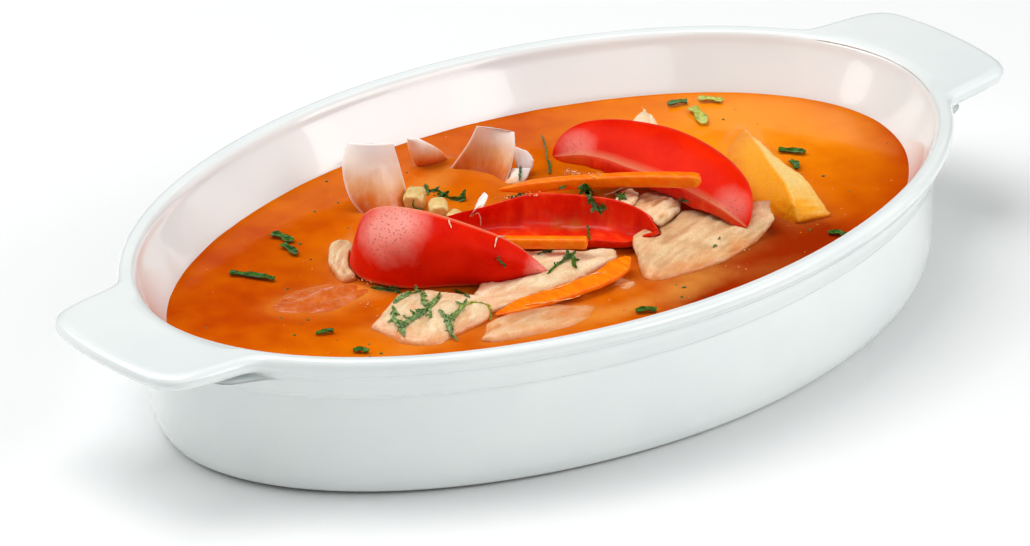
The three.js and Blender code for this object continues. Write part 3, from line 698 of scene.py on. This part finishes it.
def fish(node, grain, flake=0.3, size=4.0, seed=1, brown=(), streaks=1.0, tan=0.0):
    """Cooked fish: a few sheets that overlap like shingles, with fibres that run along `grain`, in degrees.
    `brown` lists darker places as (x, y, radius, strength), `streaks` is how strongly the fibres and the
    painted shade in the crevices show, and `tan` darkens the whole piece."""
    points, normals, faces = refined(node, 0.45, 5)
    turn = math.radians(grain)
    along = points[:, 0] * math.cos(turn) + points[:, 1] * math.sin(turn)
    across = -points[:, 0] * math.sin(turn) + points[:, 1] * math.cos(turn)
    local = np.stack([along, across, points[:, 2]], axis=1)
    bend = 5.0 * layered(local, 13, 3, seed=seed)
    phase = (across + bend + 0.2 * along) / size
    shingle = phase - np.floor(phase)
    sheet = np.where(shingle < 0.9, shingle / 0.9, (1 - shingle) / 0.1)
    present = np.clip(0.5 + 1.6 * layered(local, 9, 2, seed=seed + 3), 0, 1)
    fibre = layered(local * (0.3, 1.5, 1.5), 1.8, 3, seed=seed + 1)
    lump = layered(local, 7, 3, seed=seed + 2)
    depth = flake * (sheet - 0.5) * present + 0.16 * fibre + 0.35 * lump
    points += normals * depth[:, None]
    patch = np.zeros(len(points))
    for x, y, radius, strength in brown:
        away = np.hypot(points[:, 0] - x, points[:, 1] - y) / radius + 0.4 * layered(points, 3, 3, seed=seed)
        patch = np.maximum(patch, strength * np.clip(1.3 - away, 0, 1))
    # The colour follows the relief: darker where the sheets, fibres and lumps sink in, which is painted shade in the
    # crevices, along with the fibres' own streaks.
    shade = 0.58 - tan + streaks * (0.3 * (sheet - 0.5) * present + 0.26 * fibre + 0.2 * lump)
    tones = {"fibre": np.clip(shade, 0, 1),
             "soak": soaked(points) * 0.85, "brown": patch}
    make(node + "_flesh", points, faces, [FISH], "fish", [node], tones=tones)


fish("fish_flake", 20, flake=0.6, size=2.6, seed=2, brown=[(25, -9, 3.5, 0.8), (30, -17, 3, 0.5)], streaks=1.8,
     tan=0.12)
fish("fish_shred", 20, flake=0.4, size=2.4, seed=3)
fish("fish_slice", 15, flake=0.2, size=6, seed=4, brown=[(50, -33, 4, 0.7)], streaks=0.7, tan=0.27)
fish("fish_strip", 10, flake=0.3, size=4.5, seed=5)
fish("fish_chunk", 35, flake=0.3, size=6, seed=6, tan=0.06)
fish("fish_sunk", 5, flake=0.25, size=5, seed=7, brown=[(-32, -32, 7, 0.75), (-24, -38, 4, 0.5)],
     tan=0.1)
fish("fish_back", 60, flake=0.2, size=3, seed=8)
fish("fish_end", 40, flake=0.3, size=3, seed=9, tan=0.22)
fish("fish_crumb", 0, flake=0.4, size=2.4, seed=10)


def potato():
    points, normals, faces = refined("potato_wedge", 0.5, 8)
    points += normals * (0.25 * layered(points, 4, 3, seed=2) + 0.1 * layered(points, 1.2, 2, seed=3))[:, None]
    side = np.clip(2.8 * np.maximum(normals @ (-0.8, 0.6, 0) + 0.12, normals @ (0.3, -0.9, 0) - 0.25), 0, 1)
    make("potato_wedge_flesh", points, faces, [POTATO], "potato", ["potato_wedge"],
         tones={"side": side, "soak": soaked(points, 2.6) * 0.8})


potato()


def lump(node, material, slot, voxel=0.35, rough=0.25, seed=1, soak=0.0):
    """A small solid piece. `soak` is how far the broth has coloured the whole of it."""
    points, normals, faces = refined(node, voxel, 5)
    points += normals * (rough * layered(points, 2.6, 3, seed=seed))[:, None]
    deep = np.maximum(soaked(points) * 0.7, soak + 0.2 * layered(points, 6, 3, seed=seed))
    tones = {"soak": np.clip(deep, 0, 1), "edge": np.zeros(len(points))}
    make(node + "_piece", points, faces, [material], slot, [node], tones=tones)


for number in (1, 2, 3):
    lump(f"celery_dice_{number}", CELERY, "celery", seed=number)
    lump(f"onion_bit_{number}", ONION, "onion", 0.25, 0.15, seed=3 + number)
lump("onion_sunk", ONION, "onion", 0.4, 0.35, seed=8, soak=0.95)

# ---- Herbs ----


def surface_under():
    """A search tree over every piece of food made so far."""
    points, faces = [], []
    for piece in bpy.context.scene.objects:
        if piece.type == "MESH" and "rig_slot" in piece and piece["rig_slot"] != "porcelain":
            start = len(points)
            points += [vertex.co / MM for vertex in piece.data.vertices]
            faces += [[start + i for i in polygon.vertices] for polygon in piece.data.polygons]
    return BVHTree.FromPolygons(points, faces)


GROUND = surface_under()


def height_at(x, y):
    hit = GROUND.ray_cast(Vector((x, y, 60)), Vector((0, 0, -1)))[0]
    return max(hit.z if hit else 0, BROTH_LEVEL)


SIGHT = Vector((-0.557, -0.710, 0.431))  # from the pile towards the camera


def laid(path, lift, count):
    """Points along a line, moved along the camera's line of sight onto what is seen there first."""
    line = line_through(path, np.linspace(0, 1, count))
    ahead = []
    for place in line:
        hit = GROUND.ray_cast(Vector(place) + 150 * SIGHT, -SIGHT)[0]
        to_broth = (BROTH_LEVEL - place[2]) / SIGHT.z
        ahead.append(max((hit - Vector(place)).dot(SIGHT) if hit else to_broth, to_broth))
    ahead = np.array(ahead)
    for _ in range(3):
        ahead[1:-1] = np.maximum(ahead[1:-1], 0.5 * (ahead[:-2] + ahead[2:]))
    return line + (ahead + lift)[:, None] * np.array(SIGHT)


def ribbon(line, half_widths, thick, curl=0.0, wave=0.0, seed=0, up=(0, 0, 1), twist=0.0):
    """A thin curved strip along a line, thicker in its middle. `up` is the way its face looks, and `twist`
    is how far it turns away from that, in radians."""
    run = unit(np.gradient(line, axis=0))
    side = unit(np.cross(run, up))
    rise = np.cross(side, run)
    turn = (twist * noise(np.arange(len(line))[:, None] * (0.17, 0.05, 0.02) + seed * 3.7))[:, None]
    side, rise = side * np.cos(turn) + rise * np.sin(turn), rise * np.cos(turn) - side * np.sin(turn)
    across = np.array([-1, -0.6, 0, 0.6, 1, 0.6, 0, -0.6])
    level = np.array([0, 0.4, 0.5, 0.4, 0, -0.4, -0.5, -0.4]) * thick
    ripple = wave * np.sin(np.arange(len(line))[:, None] * 1.1 + seed + 2.5 * across[None])
    lift = level[None] + curl * (across**2)[None] + ripple
    rings = line[:, None] + side[:, None] * (half_widths[:, None] * across)[..., None] + rise[:, None] * lift[..., None]
    return loft(rings)


def joined(parts):
    """Several meshes as one."""
    points, faces, start = [], [], 0
    for part, part_faces in parts:
        points.append(part)
        faces += [[start + i for i in face] for face in part_faces]
        start += len(part)
    return np.vstack(points), faces


def shred(path, width, seed, leafy=1.0):
    """A shred of chopped parsley: a twisted, ragged ribbon with small lobed leaves beside it."""
    roll = np.random.default_rng(seed)
    length = np.linalg.norm(np.diff(np.array(path, float), axis=0), axis=1).sum()
    count = max(10, int(length * 2.4))
    line = laid(path, 0.35, count)
    line += 0.22 * np.stack([noise(line / 2.5 + k + seed) for k in (5, 9, 13)], axis=1)
    t = np.linspace(0, 1, count)
    ragged = 0.62 + 0.38 * noise(np.stack([t * length / 0.9, 0 * t, 0 * t + seed], axis=1))
    half = 0.5 * width * np.clip(ragged, 0.2, 1) * np.minimum(1, 0.35 + 5 * np.minimum(t, 1 - t))
    parts = [ribbon(line, half, 0.26, curl=0.28 * width, wave=0.08, seed=seed, up=SIGHT, twist=0.9)]
    run = unit(np.gradient(line, axis=0))
    side = unit(np.cross(run, SIGHT))
    for k in range(int(leafy * length / 1.5)):
        place = int(roll.uniform(0.05, 0.95) * (count - 1))
        turn = roll.choice([-1, 1]) * math.radians(roll.uniform(25, 80))
        aim = run[place] * math.cos(turn) + side[place] * math.sin(turn) + np.array(SIGHT) * roll.uniform(-0.1, 0.35)
        u = np.linspace(0, 1, 9)
        leaf = line[place] + np.outer(u, unit(aim)) * width * roll.uniform(0.6, 1.3)
        lobes = np.sin(math.pi * (0.1 + 0.84 * u)) * (0.75 + 0.25 * np.sin(15 * u + k))
        parts.append(ribbon(leaf, 0.24 * width * lobes + 0.04, 0.2, curl=0.15, wave=0.05, seed=k, up=SIGHT))
    return parts


def herbs(name, shreds, material, slot="herb", nodes=(), leafy=1.0, seed=0):
    """Shreds given as (width, points) become one piece."""
    parts = []
    for number, (width, path) in enumerate(shreds):
        parts += shred(path, width, seed + 7 * number, leafy)
    points, faces = joined(parts)
    make(name, points, faces, [material], slot, nodes)


SHREDS = [  # one list of (width, points) for each shred of the CAD model
    ([(2.0, [(-56.4, -9.3, 30.5), (-54, -8.3, 30.5), (-50.5, -7.6, 30.5), (-47, -8.4, 30.5)])], PARSLEY),
    ([(2.1, [(-44, -12.9, 30.3), (-50.2, -16.7, 30.3), (-56.4, -18.8, 30.3), (-63, -21.4, 30.3),
             (-66.3, -26.1, 30.3)])], PARSLEY),
    ([(1.6, [(-47, -9.3, 30.8), (-49, -12, 30.8), (-52, -16.5, 30.8)]),
      (1.3, [(-50.6, -14.8, 30.6), (-52, -18.5, 30.6), (-54.9, -22.6, 30.6)])], PARSLEY),
    ([(1.8, [(-57.2, -10.3, 30), (-61.6, -17.2, 30), (-63, -21.4, 30)])], PARSLEY),
    ([(1.9, [(-41.3, -20.2, 30.3), (-47.9, -24.3, 30.3), (-51.8, -26.9, 30.3), (-57.4, -34.3, 30.3)]),
      (1.7, [(-49.4, -19.7, 30), (-51.2, -24.4, 30), (-54.7, -30.5, 30)])], PARSLEY),
    ([(0.95, [(-49.9, -25.3, 30.5), (-43, -22.3, 30.5), (-39.6, -23.8, 30.5), (-39.4, -27.2, 30.5),
              (-41.9, -31.1, 30.5), (-44.8, -33.9, 30.5)])], SCALLION),
    ([(1.1, [(-16.8, -22.6, 30.5), (-12.1, -20.5, 30.5), (-8.6, -19, 30.5)])], HERB),
    ([(2.0, [(-9.2, -19.8, 31), (-6.4, -19.2, 31), (-9.6, -25.9, 31)])], HERB),
    ([(1.7, [(-8.2, 39, 31.5), (-9.7, 35.4, 31.5), (-7.6, 34.3, 31.5), (-9.3, 30.1, 31.5)]),
      (2.8, [(-6.7, 33, 30.5), (-6.5, 28.7, 30.5), (-4.2, 26.6, 30.5)])], HERB),
]
for number, (shreds, material) in enumerate(SHREDS, 1):
    herbs(f"herb_shred_{number}_leaves", shreds, material, nodes=[f"herb_shred_{number}"], seed=number,
          leafy=0.0 if material is SCALLION else 1.0)

herbs("herb_scraps", [
    (2.4, [(13.6, -1.1, 39), (10.4, -6.3, 39), (6.6, -15, 39), (8.3, -16.6, 39)]),
    (1.5, [(18, -8.4, 37), (18.1, -10.5, 37), (18.1, -12.6, 37)]),
    (1.2, [(19.5, -8.6, 37), (18, -10.5, 37), (16, -12, 37)]),
    (2.2, [(-52.6, 4.7, 28.5), (-50.7, 1.4, 28.5), (-48.6, -2.1, 28.5)]),
    (1.5, [(-39.4, -13.2, 30), (-39.2, -16, 30), (-39.1, -19, 30)]),
    (1.6, [(-11.9, -12.5, 31), (-9.7, -13, 31), (-8, -13.8, 31)]),
    (0.8, [(-29.9, -18.9, 38), (-30.8, -21.6, 38), (-31.7, -24.4, 38)]),
    (1.1, [(7.7, 2.3, 38), (8.8, 2.3, 38), (9.8, 2.1, 38)]),
    (1.3, [(-0.8, 12.2, 35), (1.3, 12, 35), (3.4, 11.6, 35)]),
    (1.0, [(29.9, -19.8, 36), (29.8, -21.7, 36), (29.7, -23.7, 36)]),
    (0.8, [(25.4, -38.4, 30), (26.1, -38, 30), (26.8, -37.6, 30)]),
    (0.7, [(29.4, -35.6, 30), (29.9, -35.3, 30), (30.4, -35, 30)]),
], HERB, seed=31)
herbs("chive_stems", [
    (0.7, [(38.9, 48.5, 27.8), (35.1, 42.5, 27.8), (30, 35.4, 27.8)]),
    (1.2, [(30.1, 34.7, 28), (27.4, 31.3, 28), (24.7, 28, 28)]),
    (1.1, [(19.2, 33.1, 30), (16.5, 30, 30), (13.9, 27.1, 30)]),
    (1.0, [(6.1, -11.3, 33), (3.3, -14.8, 33), (0.6, -18.4, 33)]),
    (0.6, [(-15.6, 34.2, 31.5), (-18.8, 29.8, 31.5), (-17.7, 27.9, 31.5)]),
], HERB, seed=51, leafy=0.0)
herbs("onion_strands", [
    (0.55, [(-18.5, 6.5, 37), (-14.6, 9.3, 37), (-11.4, 10.5, 37)]),
    (0.5, [(-18.5, 6.5, 37), (-15.4, 7, 37), (-19.9, 0.6, 37)]),
    (0.6, [(-36.4, -8, 47), (-37.7, -10, 47), (-39, -12.1, 47)]),
    (0.6, [(-24.1, -15.1, 41), (-25.8, -14.4, 41), (-30.2, -18.3, 41)]),
    (0.4, [(14.8, -8.5, 37.5), (17.5, -8.5, 37.5), (20.4, -7.9, 37.5)]),
], STRAND, slot="onion", seed=71, leafy=0.0)

# Painted highlights: thin pale ribbons on the broth along the carrot strip.
herbs("broth_painted_gleams", [
    (0.35, [(-27.1, -28.5, 30.3), (-22.8, -29.2, 30.3), (-18.9, -30.5, 30.3), (-11.4, -29.4, 30.3),
            (-4.3, -31.2, 30.3)]),
    (0.3, [(-29.4, -29.2, 28.2), (-25.8, -30.9, 28.2), (-18.4, -33.8, 28.2), (-14.1, -34.6, 28.2)]),
], PAINTED_GLEAM, slot="broth", seed=91, leafy=0.0)

FLOATING = [
    ((-51, 49), (-50, 42), 3, HERB), ((-53, 42), (-54, 35), 2.6, HERB), ((-73, 38), (-67, 27), 2.6, HERB),
    ((-78, -5), (-74, -7), 1.8, HERB), ((-77, -19), (-75, -22), 2.2, HERB), ((76, 41), (81, 39), 2.4, HERB),
    ((84, 38), (88, 33), 2.6, SCALLION), ((79, 35), (75, 25), 3.6, SCALLION), ((79, -1), (83, -7), 3, HERB),
    ((77, -8), (75, -13), 2.4, HERB), ((56, -48), (58, -52), 2.2, HERB), ((-10, -50), (-6, -53), 2.4, HERB),
]


def floating(number, start, end, width, material):
    """A cut length of scallion: a shallow trough that lies on the broth."""
    t = np.linspace(0, 1, 18)
    start, end = np.array(start, float), np.array(end, float)
    line = np.zeros((18, 3))
    line[:, :2] = start + (end - start) * t[:, None]
    line[:, 0] += 0.8 * np.sin(math.pi * t)
    line[:, 2] = BROTH_LEVEL + 0.5 + 0.12 * np.sin(5 * t + number)
    half = 0.5 * width * (0.82 + 0.18 * np.sin(9 * t + number)) * np.where((t < 0.03) | (t > 0.97), 0.8, 1)
    points, faces = ribbon(line, half, 0.5, curl=0.55, wave=0.08, seed=number)
    slot = "scallion" if material is SCALLION else "herb"
    make(f"scallion_{number}_cut", points, faces, [material], slot, [f"scallion_{number}"])


for number, (start, end, width, material) in enumerate(FLOATING, 1):
    floating(number, start, end, width, material)

# ---- Broth ----

SUNK = [  # pale shapes under the surface: (x, y, half length, half width, turn in degrees, strength)
    (8, -47, 17, 6, 5, 0.5), (30, -52, 14, 5, -10, 0.12), (-12, -46, 10, 4, 0, 0.45), (0, 47, 9, 5, 20, 0.4),
    (-58, 8, 12, 6, -20, 0.35), (-70, -28, 8, 4, 10, 0.2), (60, 5, 10, 16, 30, 0.3), (-38, 33, 7, 4, 0, 0.25),
]


# The first four patches, dark along the near right wall, are painted shade and dark reflection of that wall.
SHADES = [  # darker and brighter parts of the broth: (x, y, radius, change)
    (37, -45, 20, -0.75), (20, -52, 16, -0.7), (2, -56, 13, -0.35), (50, -44, 14, -0.4), (-85, 20, 30, -0.3),
    (-62, 50, 20, -0.25), (102, 8, 32, 0.5), (78, 44, 32, 0.22), (30, 55, 26, -0.2), (92, -30, 14, -0.1),
    (56, 14, 12, 0.3), (-45, -45, 22, -0.12), (0, 42, 20, 0.05), (-30, 30, 16, -0.15),
]


def waterline():
    """The points of the food that are at the broth's level, in a tree that finds the nearest one."""
    found = [vertex.co for piece in bpy.context.scene.objects
             if piece.type == "MESH" and piece.get("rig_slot") not in (None, "porcelain", "herb", "scallion")
             for vertex in piece.data.vertices if abs(vertex.co.z / MM - BROTH_LEVEL) < 0.45]
    tree = KDTree(len(found))
    for index, co in enumerate(found):
        tree.insert((co.x / MM, co.y / MM, 0), index)
    tree.balance()
    return tree


def broth():
    angles = np.linspace(0, 2 * math.pi, BROTH_ANGLES, endpoint=False)
    shares = np.linspace(0.004, 1, BROTH_RINGS) ** 0.92
    outer = dish_ring(angles, BROTH_INSET - 0.6, BROTH_LEVEL)
    top = [outer * (share, share, 1) for share in shares]
    below = [dish_ring(angles, inset - 0.5, z) for inset, z in ((14.2, 22), (17.5, 13), (21, 7), (27, 4.3))]
    points, faces = loft(top + below)
    surface = points[:, 2] > BROTH_LEVEL - 0.01
    tree = waterline()
    near = np.array([min(tree.find((x, y, 0))[2], 9) for x, y, _ in points])
    share = np.append(np.repeat(np.append(shares, np.ones(len(below))), BROTH_ANGLES), [0, 1])
    wall = (1 - share) * np.hypot(points[:, 0], points[:, 1]) / np.maximum(share, 0.01)
    ripple = 0.1 * layered(points, 16, 2, seed=4) + 0.03 * layered(points, 3.5, 2, seed=6)
    climb = 0.45 * np.exp(-near / 0.9) + 0.55 * np.exp(-wall / 0.9)
    facing = np.clip((points[:, 0] - 1.6 * points[:, 1]) / np.hypot(points[:, 0], 1.6 * points[:, 1]).clip(1), 0, 1)
    points[:, 2] += surface * (ripple + climb - 0.1)
    pale = 0.2 * np.exp(-near / 2.2)
    for x, y, length, width, turn, strength in SUNK:
        cos, sin = math.cos(math.radians(turn)), math.sin(math.radians(turn))
        dx, dy = points[:, 0] - x, points[:, 1] - y
        along, across = dx * cos + dy * sin, dy * cos - dx * sin
        edge = np.hypot(along / length, across / width) + 0.35 * layered(points, 5, 3, seed=int(x) % 7)
        pale += strength * np.clip(1.25 - edge, 0, 1)
    murk_and_shade = 0.55 + 0.28 * layered(points, 38, 3, seed=2) + 0.16 * layered(points, 7, 3, seed=3)
    # The SHADES patches go into this tone, painted shade among them.
    for x, y, radius, change in SHADES:
        murk_and_shade += change * np.exp(-((points[:, 0] - x) ** 2 + (points[:, 1] - y) ** 2) / radius**2)
    # The wall tone: a deeper red painted along the near right wall, where facing and right pick that side, as painted
    # shade and dark reflection of the wall.
    right = np.clip((points[:, 0] + 5) / 40, 0, 1)
    red = facing * right * np.exp(-wall / 7) * (0.8 + 0.4 * layered(points, 12, 2, seed=8))
    tones = {"murk_and_shade": np.clip(murk_and_shade, 0, 1), "pale": np.clip(pale, 0, 0.85), "wall": np.clip(red, 0, 0.85)}
    make("broth_liquid", points, faces, [BROTH], "broth", ["broth"], tones=tones)
    return tree


WATERLINE = broth()


def dome(x, y, z, radius, height, sides=10):
    rings = [[(x + radius * s * math.cos(a), y + radius * s * math.sin(a), z + height * math.sqrt(1 - s * s))
              for a in np.linspace(0, 2 * math.pi, sides, endpoint=False)] for s in (0.999, 0.85, 0.6, 0.3)]
    return loft(rings)


FOAM = [  # rows of froth against the food: (count, spread, points)
    (26, 0.9, [(-50.6, 15.4, 28), (-50.2, 11.5, 28), (-49.7, 8.2, 28)]),
    (60, 0.8, [(20.1, 15.3, 35), (21, 12.5, 35), (24.5, 6.3, 35)]),
    (26, 0.5, [(-4.7, 9.3, 37), (-0.7, 8, 37), (3.5, 5.2, 37)]),
    (14, 0.9, [(31.5, -40.4, 33), (28.8, -46.4, 31)]),
    (12, 1.6, [(-59, -1.5, 29), (-62, -8, 29)]),
]


def foam():
    """Tiny pale bubbles where the broth has frothed beside a piece."""
    roll = np.random.default_rng(21)
    parts = []
    for count, spread, path in FOAM:
        for place in laid(path, 0.0, count):
            x, y, z = place + roll.normal(0, spread, 3) * (1, 1, 0.2)
            size = roll.uniform(0.12, 0.36)
            parts.append(dome(x, y, z - 0.3 * size, size, size))
    points, faces = joined(parts)
    make("froth", points, faces, [FROTH], "broth")


def scattered(name, count, slot, material, seed, radius, height, spread):
    """Small drops or crumbs on the broth, thicker close to the food where `spread` is small."""
    roll = np.random.default_rng(seed)
    parts = []
    while len(parts) < count:
        x, y = roll.uniform(-108, 108), roll.uniform(-69, 69)
        if reach(*unit(np.array([x, y])), 109, 69, RIM_POWER) < math.hypot(x, y):
            continue
        gap = WATERLINE.find((x, y, 0))[2]
        if gap < 0.8 or roll.uniform() > math.exp(-gap / spread) + 0.08 or height_at(x, y) > BROTH_LEVEL + 1.2:
            continue
        size = roll.uniform(*radius)
        parts.append(dome(x, y, BROTH_LEVEL - 0.12, size, size * height))
    points, faces = joined(parts)
    make(name, points, faces, [material], slot)


foam()
scattered("broth_bubbles", 150, "broth", BUBBLE, 11, (0.12, 0.38), 0.7, 7)
scattered("herb_crumbs", 60, "herb", HERB, 12, (0.2, 0.5), 0.8, 20)

# ---- Stage, lights and camera ----


def floor():
    size = 6.0
    mesh = bpy.data.meshes.new("floor")
    corners = [(-size, -size, 0), (size, -size, 0), (size, size, 0), (-size, size, 0)]
    mesh.from_pydata(corners, [], [(0, 1, 2, 3)])
    mesh.materials.append(floor_look())
    piece = bpy.data.objects.new("floor", mesh)
    bpy.context.collection.objects.link(piece)


def softbox(name, direction, distance, width, height, power, tint=(1, 1, 1)):
    light = bpy.data.lights.new(name, "AREA")
    light.shape = "RECTANGLE"
    light.size, light.size_y = width, height
    light.energy = power
    light.color = tint
    lamp = bpy.data.objects.new(name, light)
    aim = Vector(direction).normalized()
    lamp.location = aim * distance
    lamp.rotation_euler = aim.to_track_quat("Z", "Y").to_euler()
    bpy.context.collection.objects.link(lamp)


def world():
    sky = bpy.data.worlds.new("studio")
    sky.use_nodes = True
    tree = sky.node_tree
    background = tree.nodes["Background"]
    background.inputs["Color"].default_value = (1.0, 1.0, 1.0, 1)
    way = tree.nodes.new("ShaderNodeTexCoord")
    toward = tree.nodes.new("ShaderNodeVectorMath")
    toward.operation = "DOT_PRODUCT"
    toward.inputs[1].default_value = (0.557, 0.710, 0.431)  # what the broth mirrors to the camera
    dim = tree.nodes.new("ShaderNodeMapRange")
    for key, value in (("From Min", 0.5), ("From Max", 0.92), ("To Min", 0.22), ("To Max", 0.03)):
        dim.inputs[key].default_value = value
    tree.links.new(way.outputs["Generated"], toward.inputs[0])
    tree.links.new(toward.outputs["Value"], dim.inputs["Value"])
    tree.links.new(dim.outputs["Result"], background.inputs["Strength"])
    bpy.context.scene.world = sky


def camera():
    lens = bpy.data.cameras.new("camera")
    lens.lens = 309
    lens.sensor_width = 36
    lens.clip_end = 20
    view = bpy.data.objects.new("camera", lens)
    eye = Vector((-1.2727, -1.6239, 1.0140))
    target = Vector((-0.0193, -0.0125, 0.0280))
    back = (eye - target).normalized()
    right = Vector((0.2926, 0.3182, 0.9017)).cross(back).normalized()
    up = back.cross(right)
    view.matrix_world = Matrix((right, up, back)).transposed().to_4x4()
    view.location = eye
    bpy.context.collection.objects.link(view)
    bpy.context.scene.camera = view


floor()
softbox("left", (-0.48, 0.50, 0.66), 1.3, 1.0, 0.9, 6.8)
softbox("far_right", (0.85, -0.40, 0.42), 1.6, 1.0, 1.0, 3.2)
softbox("right", (0.47, -0.77, 0.48), 1.4, 0.9, 0.5, 5.2)
softbox("front", (-0.05, -0.76, 0.74), 1.8, 1.4, 0.8, 4.5)
softbox("top", (-0.1, 0.2, 1.0), 1.5, 1.0, 1.0, 13)
world()
camera()
bpy.context.scene.view_settings.view_transform = "Standard"
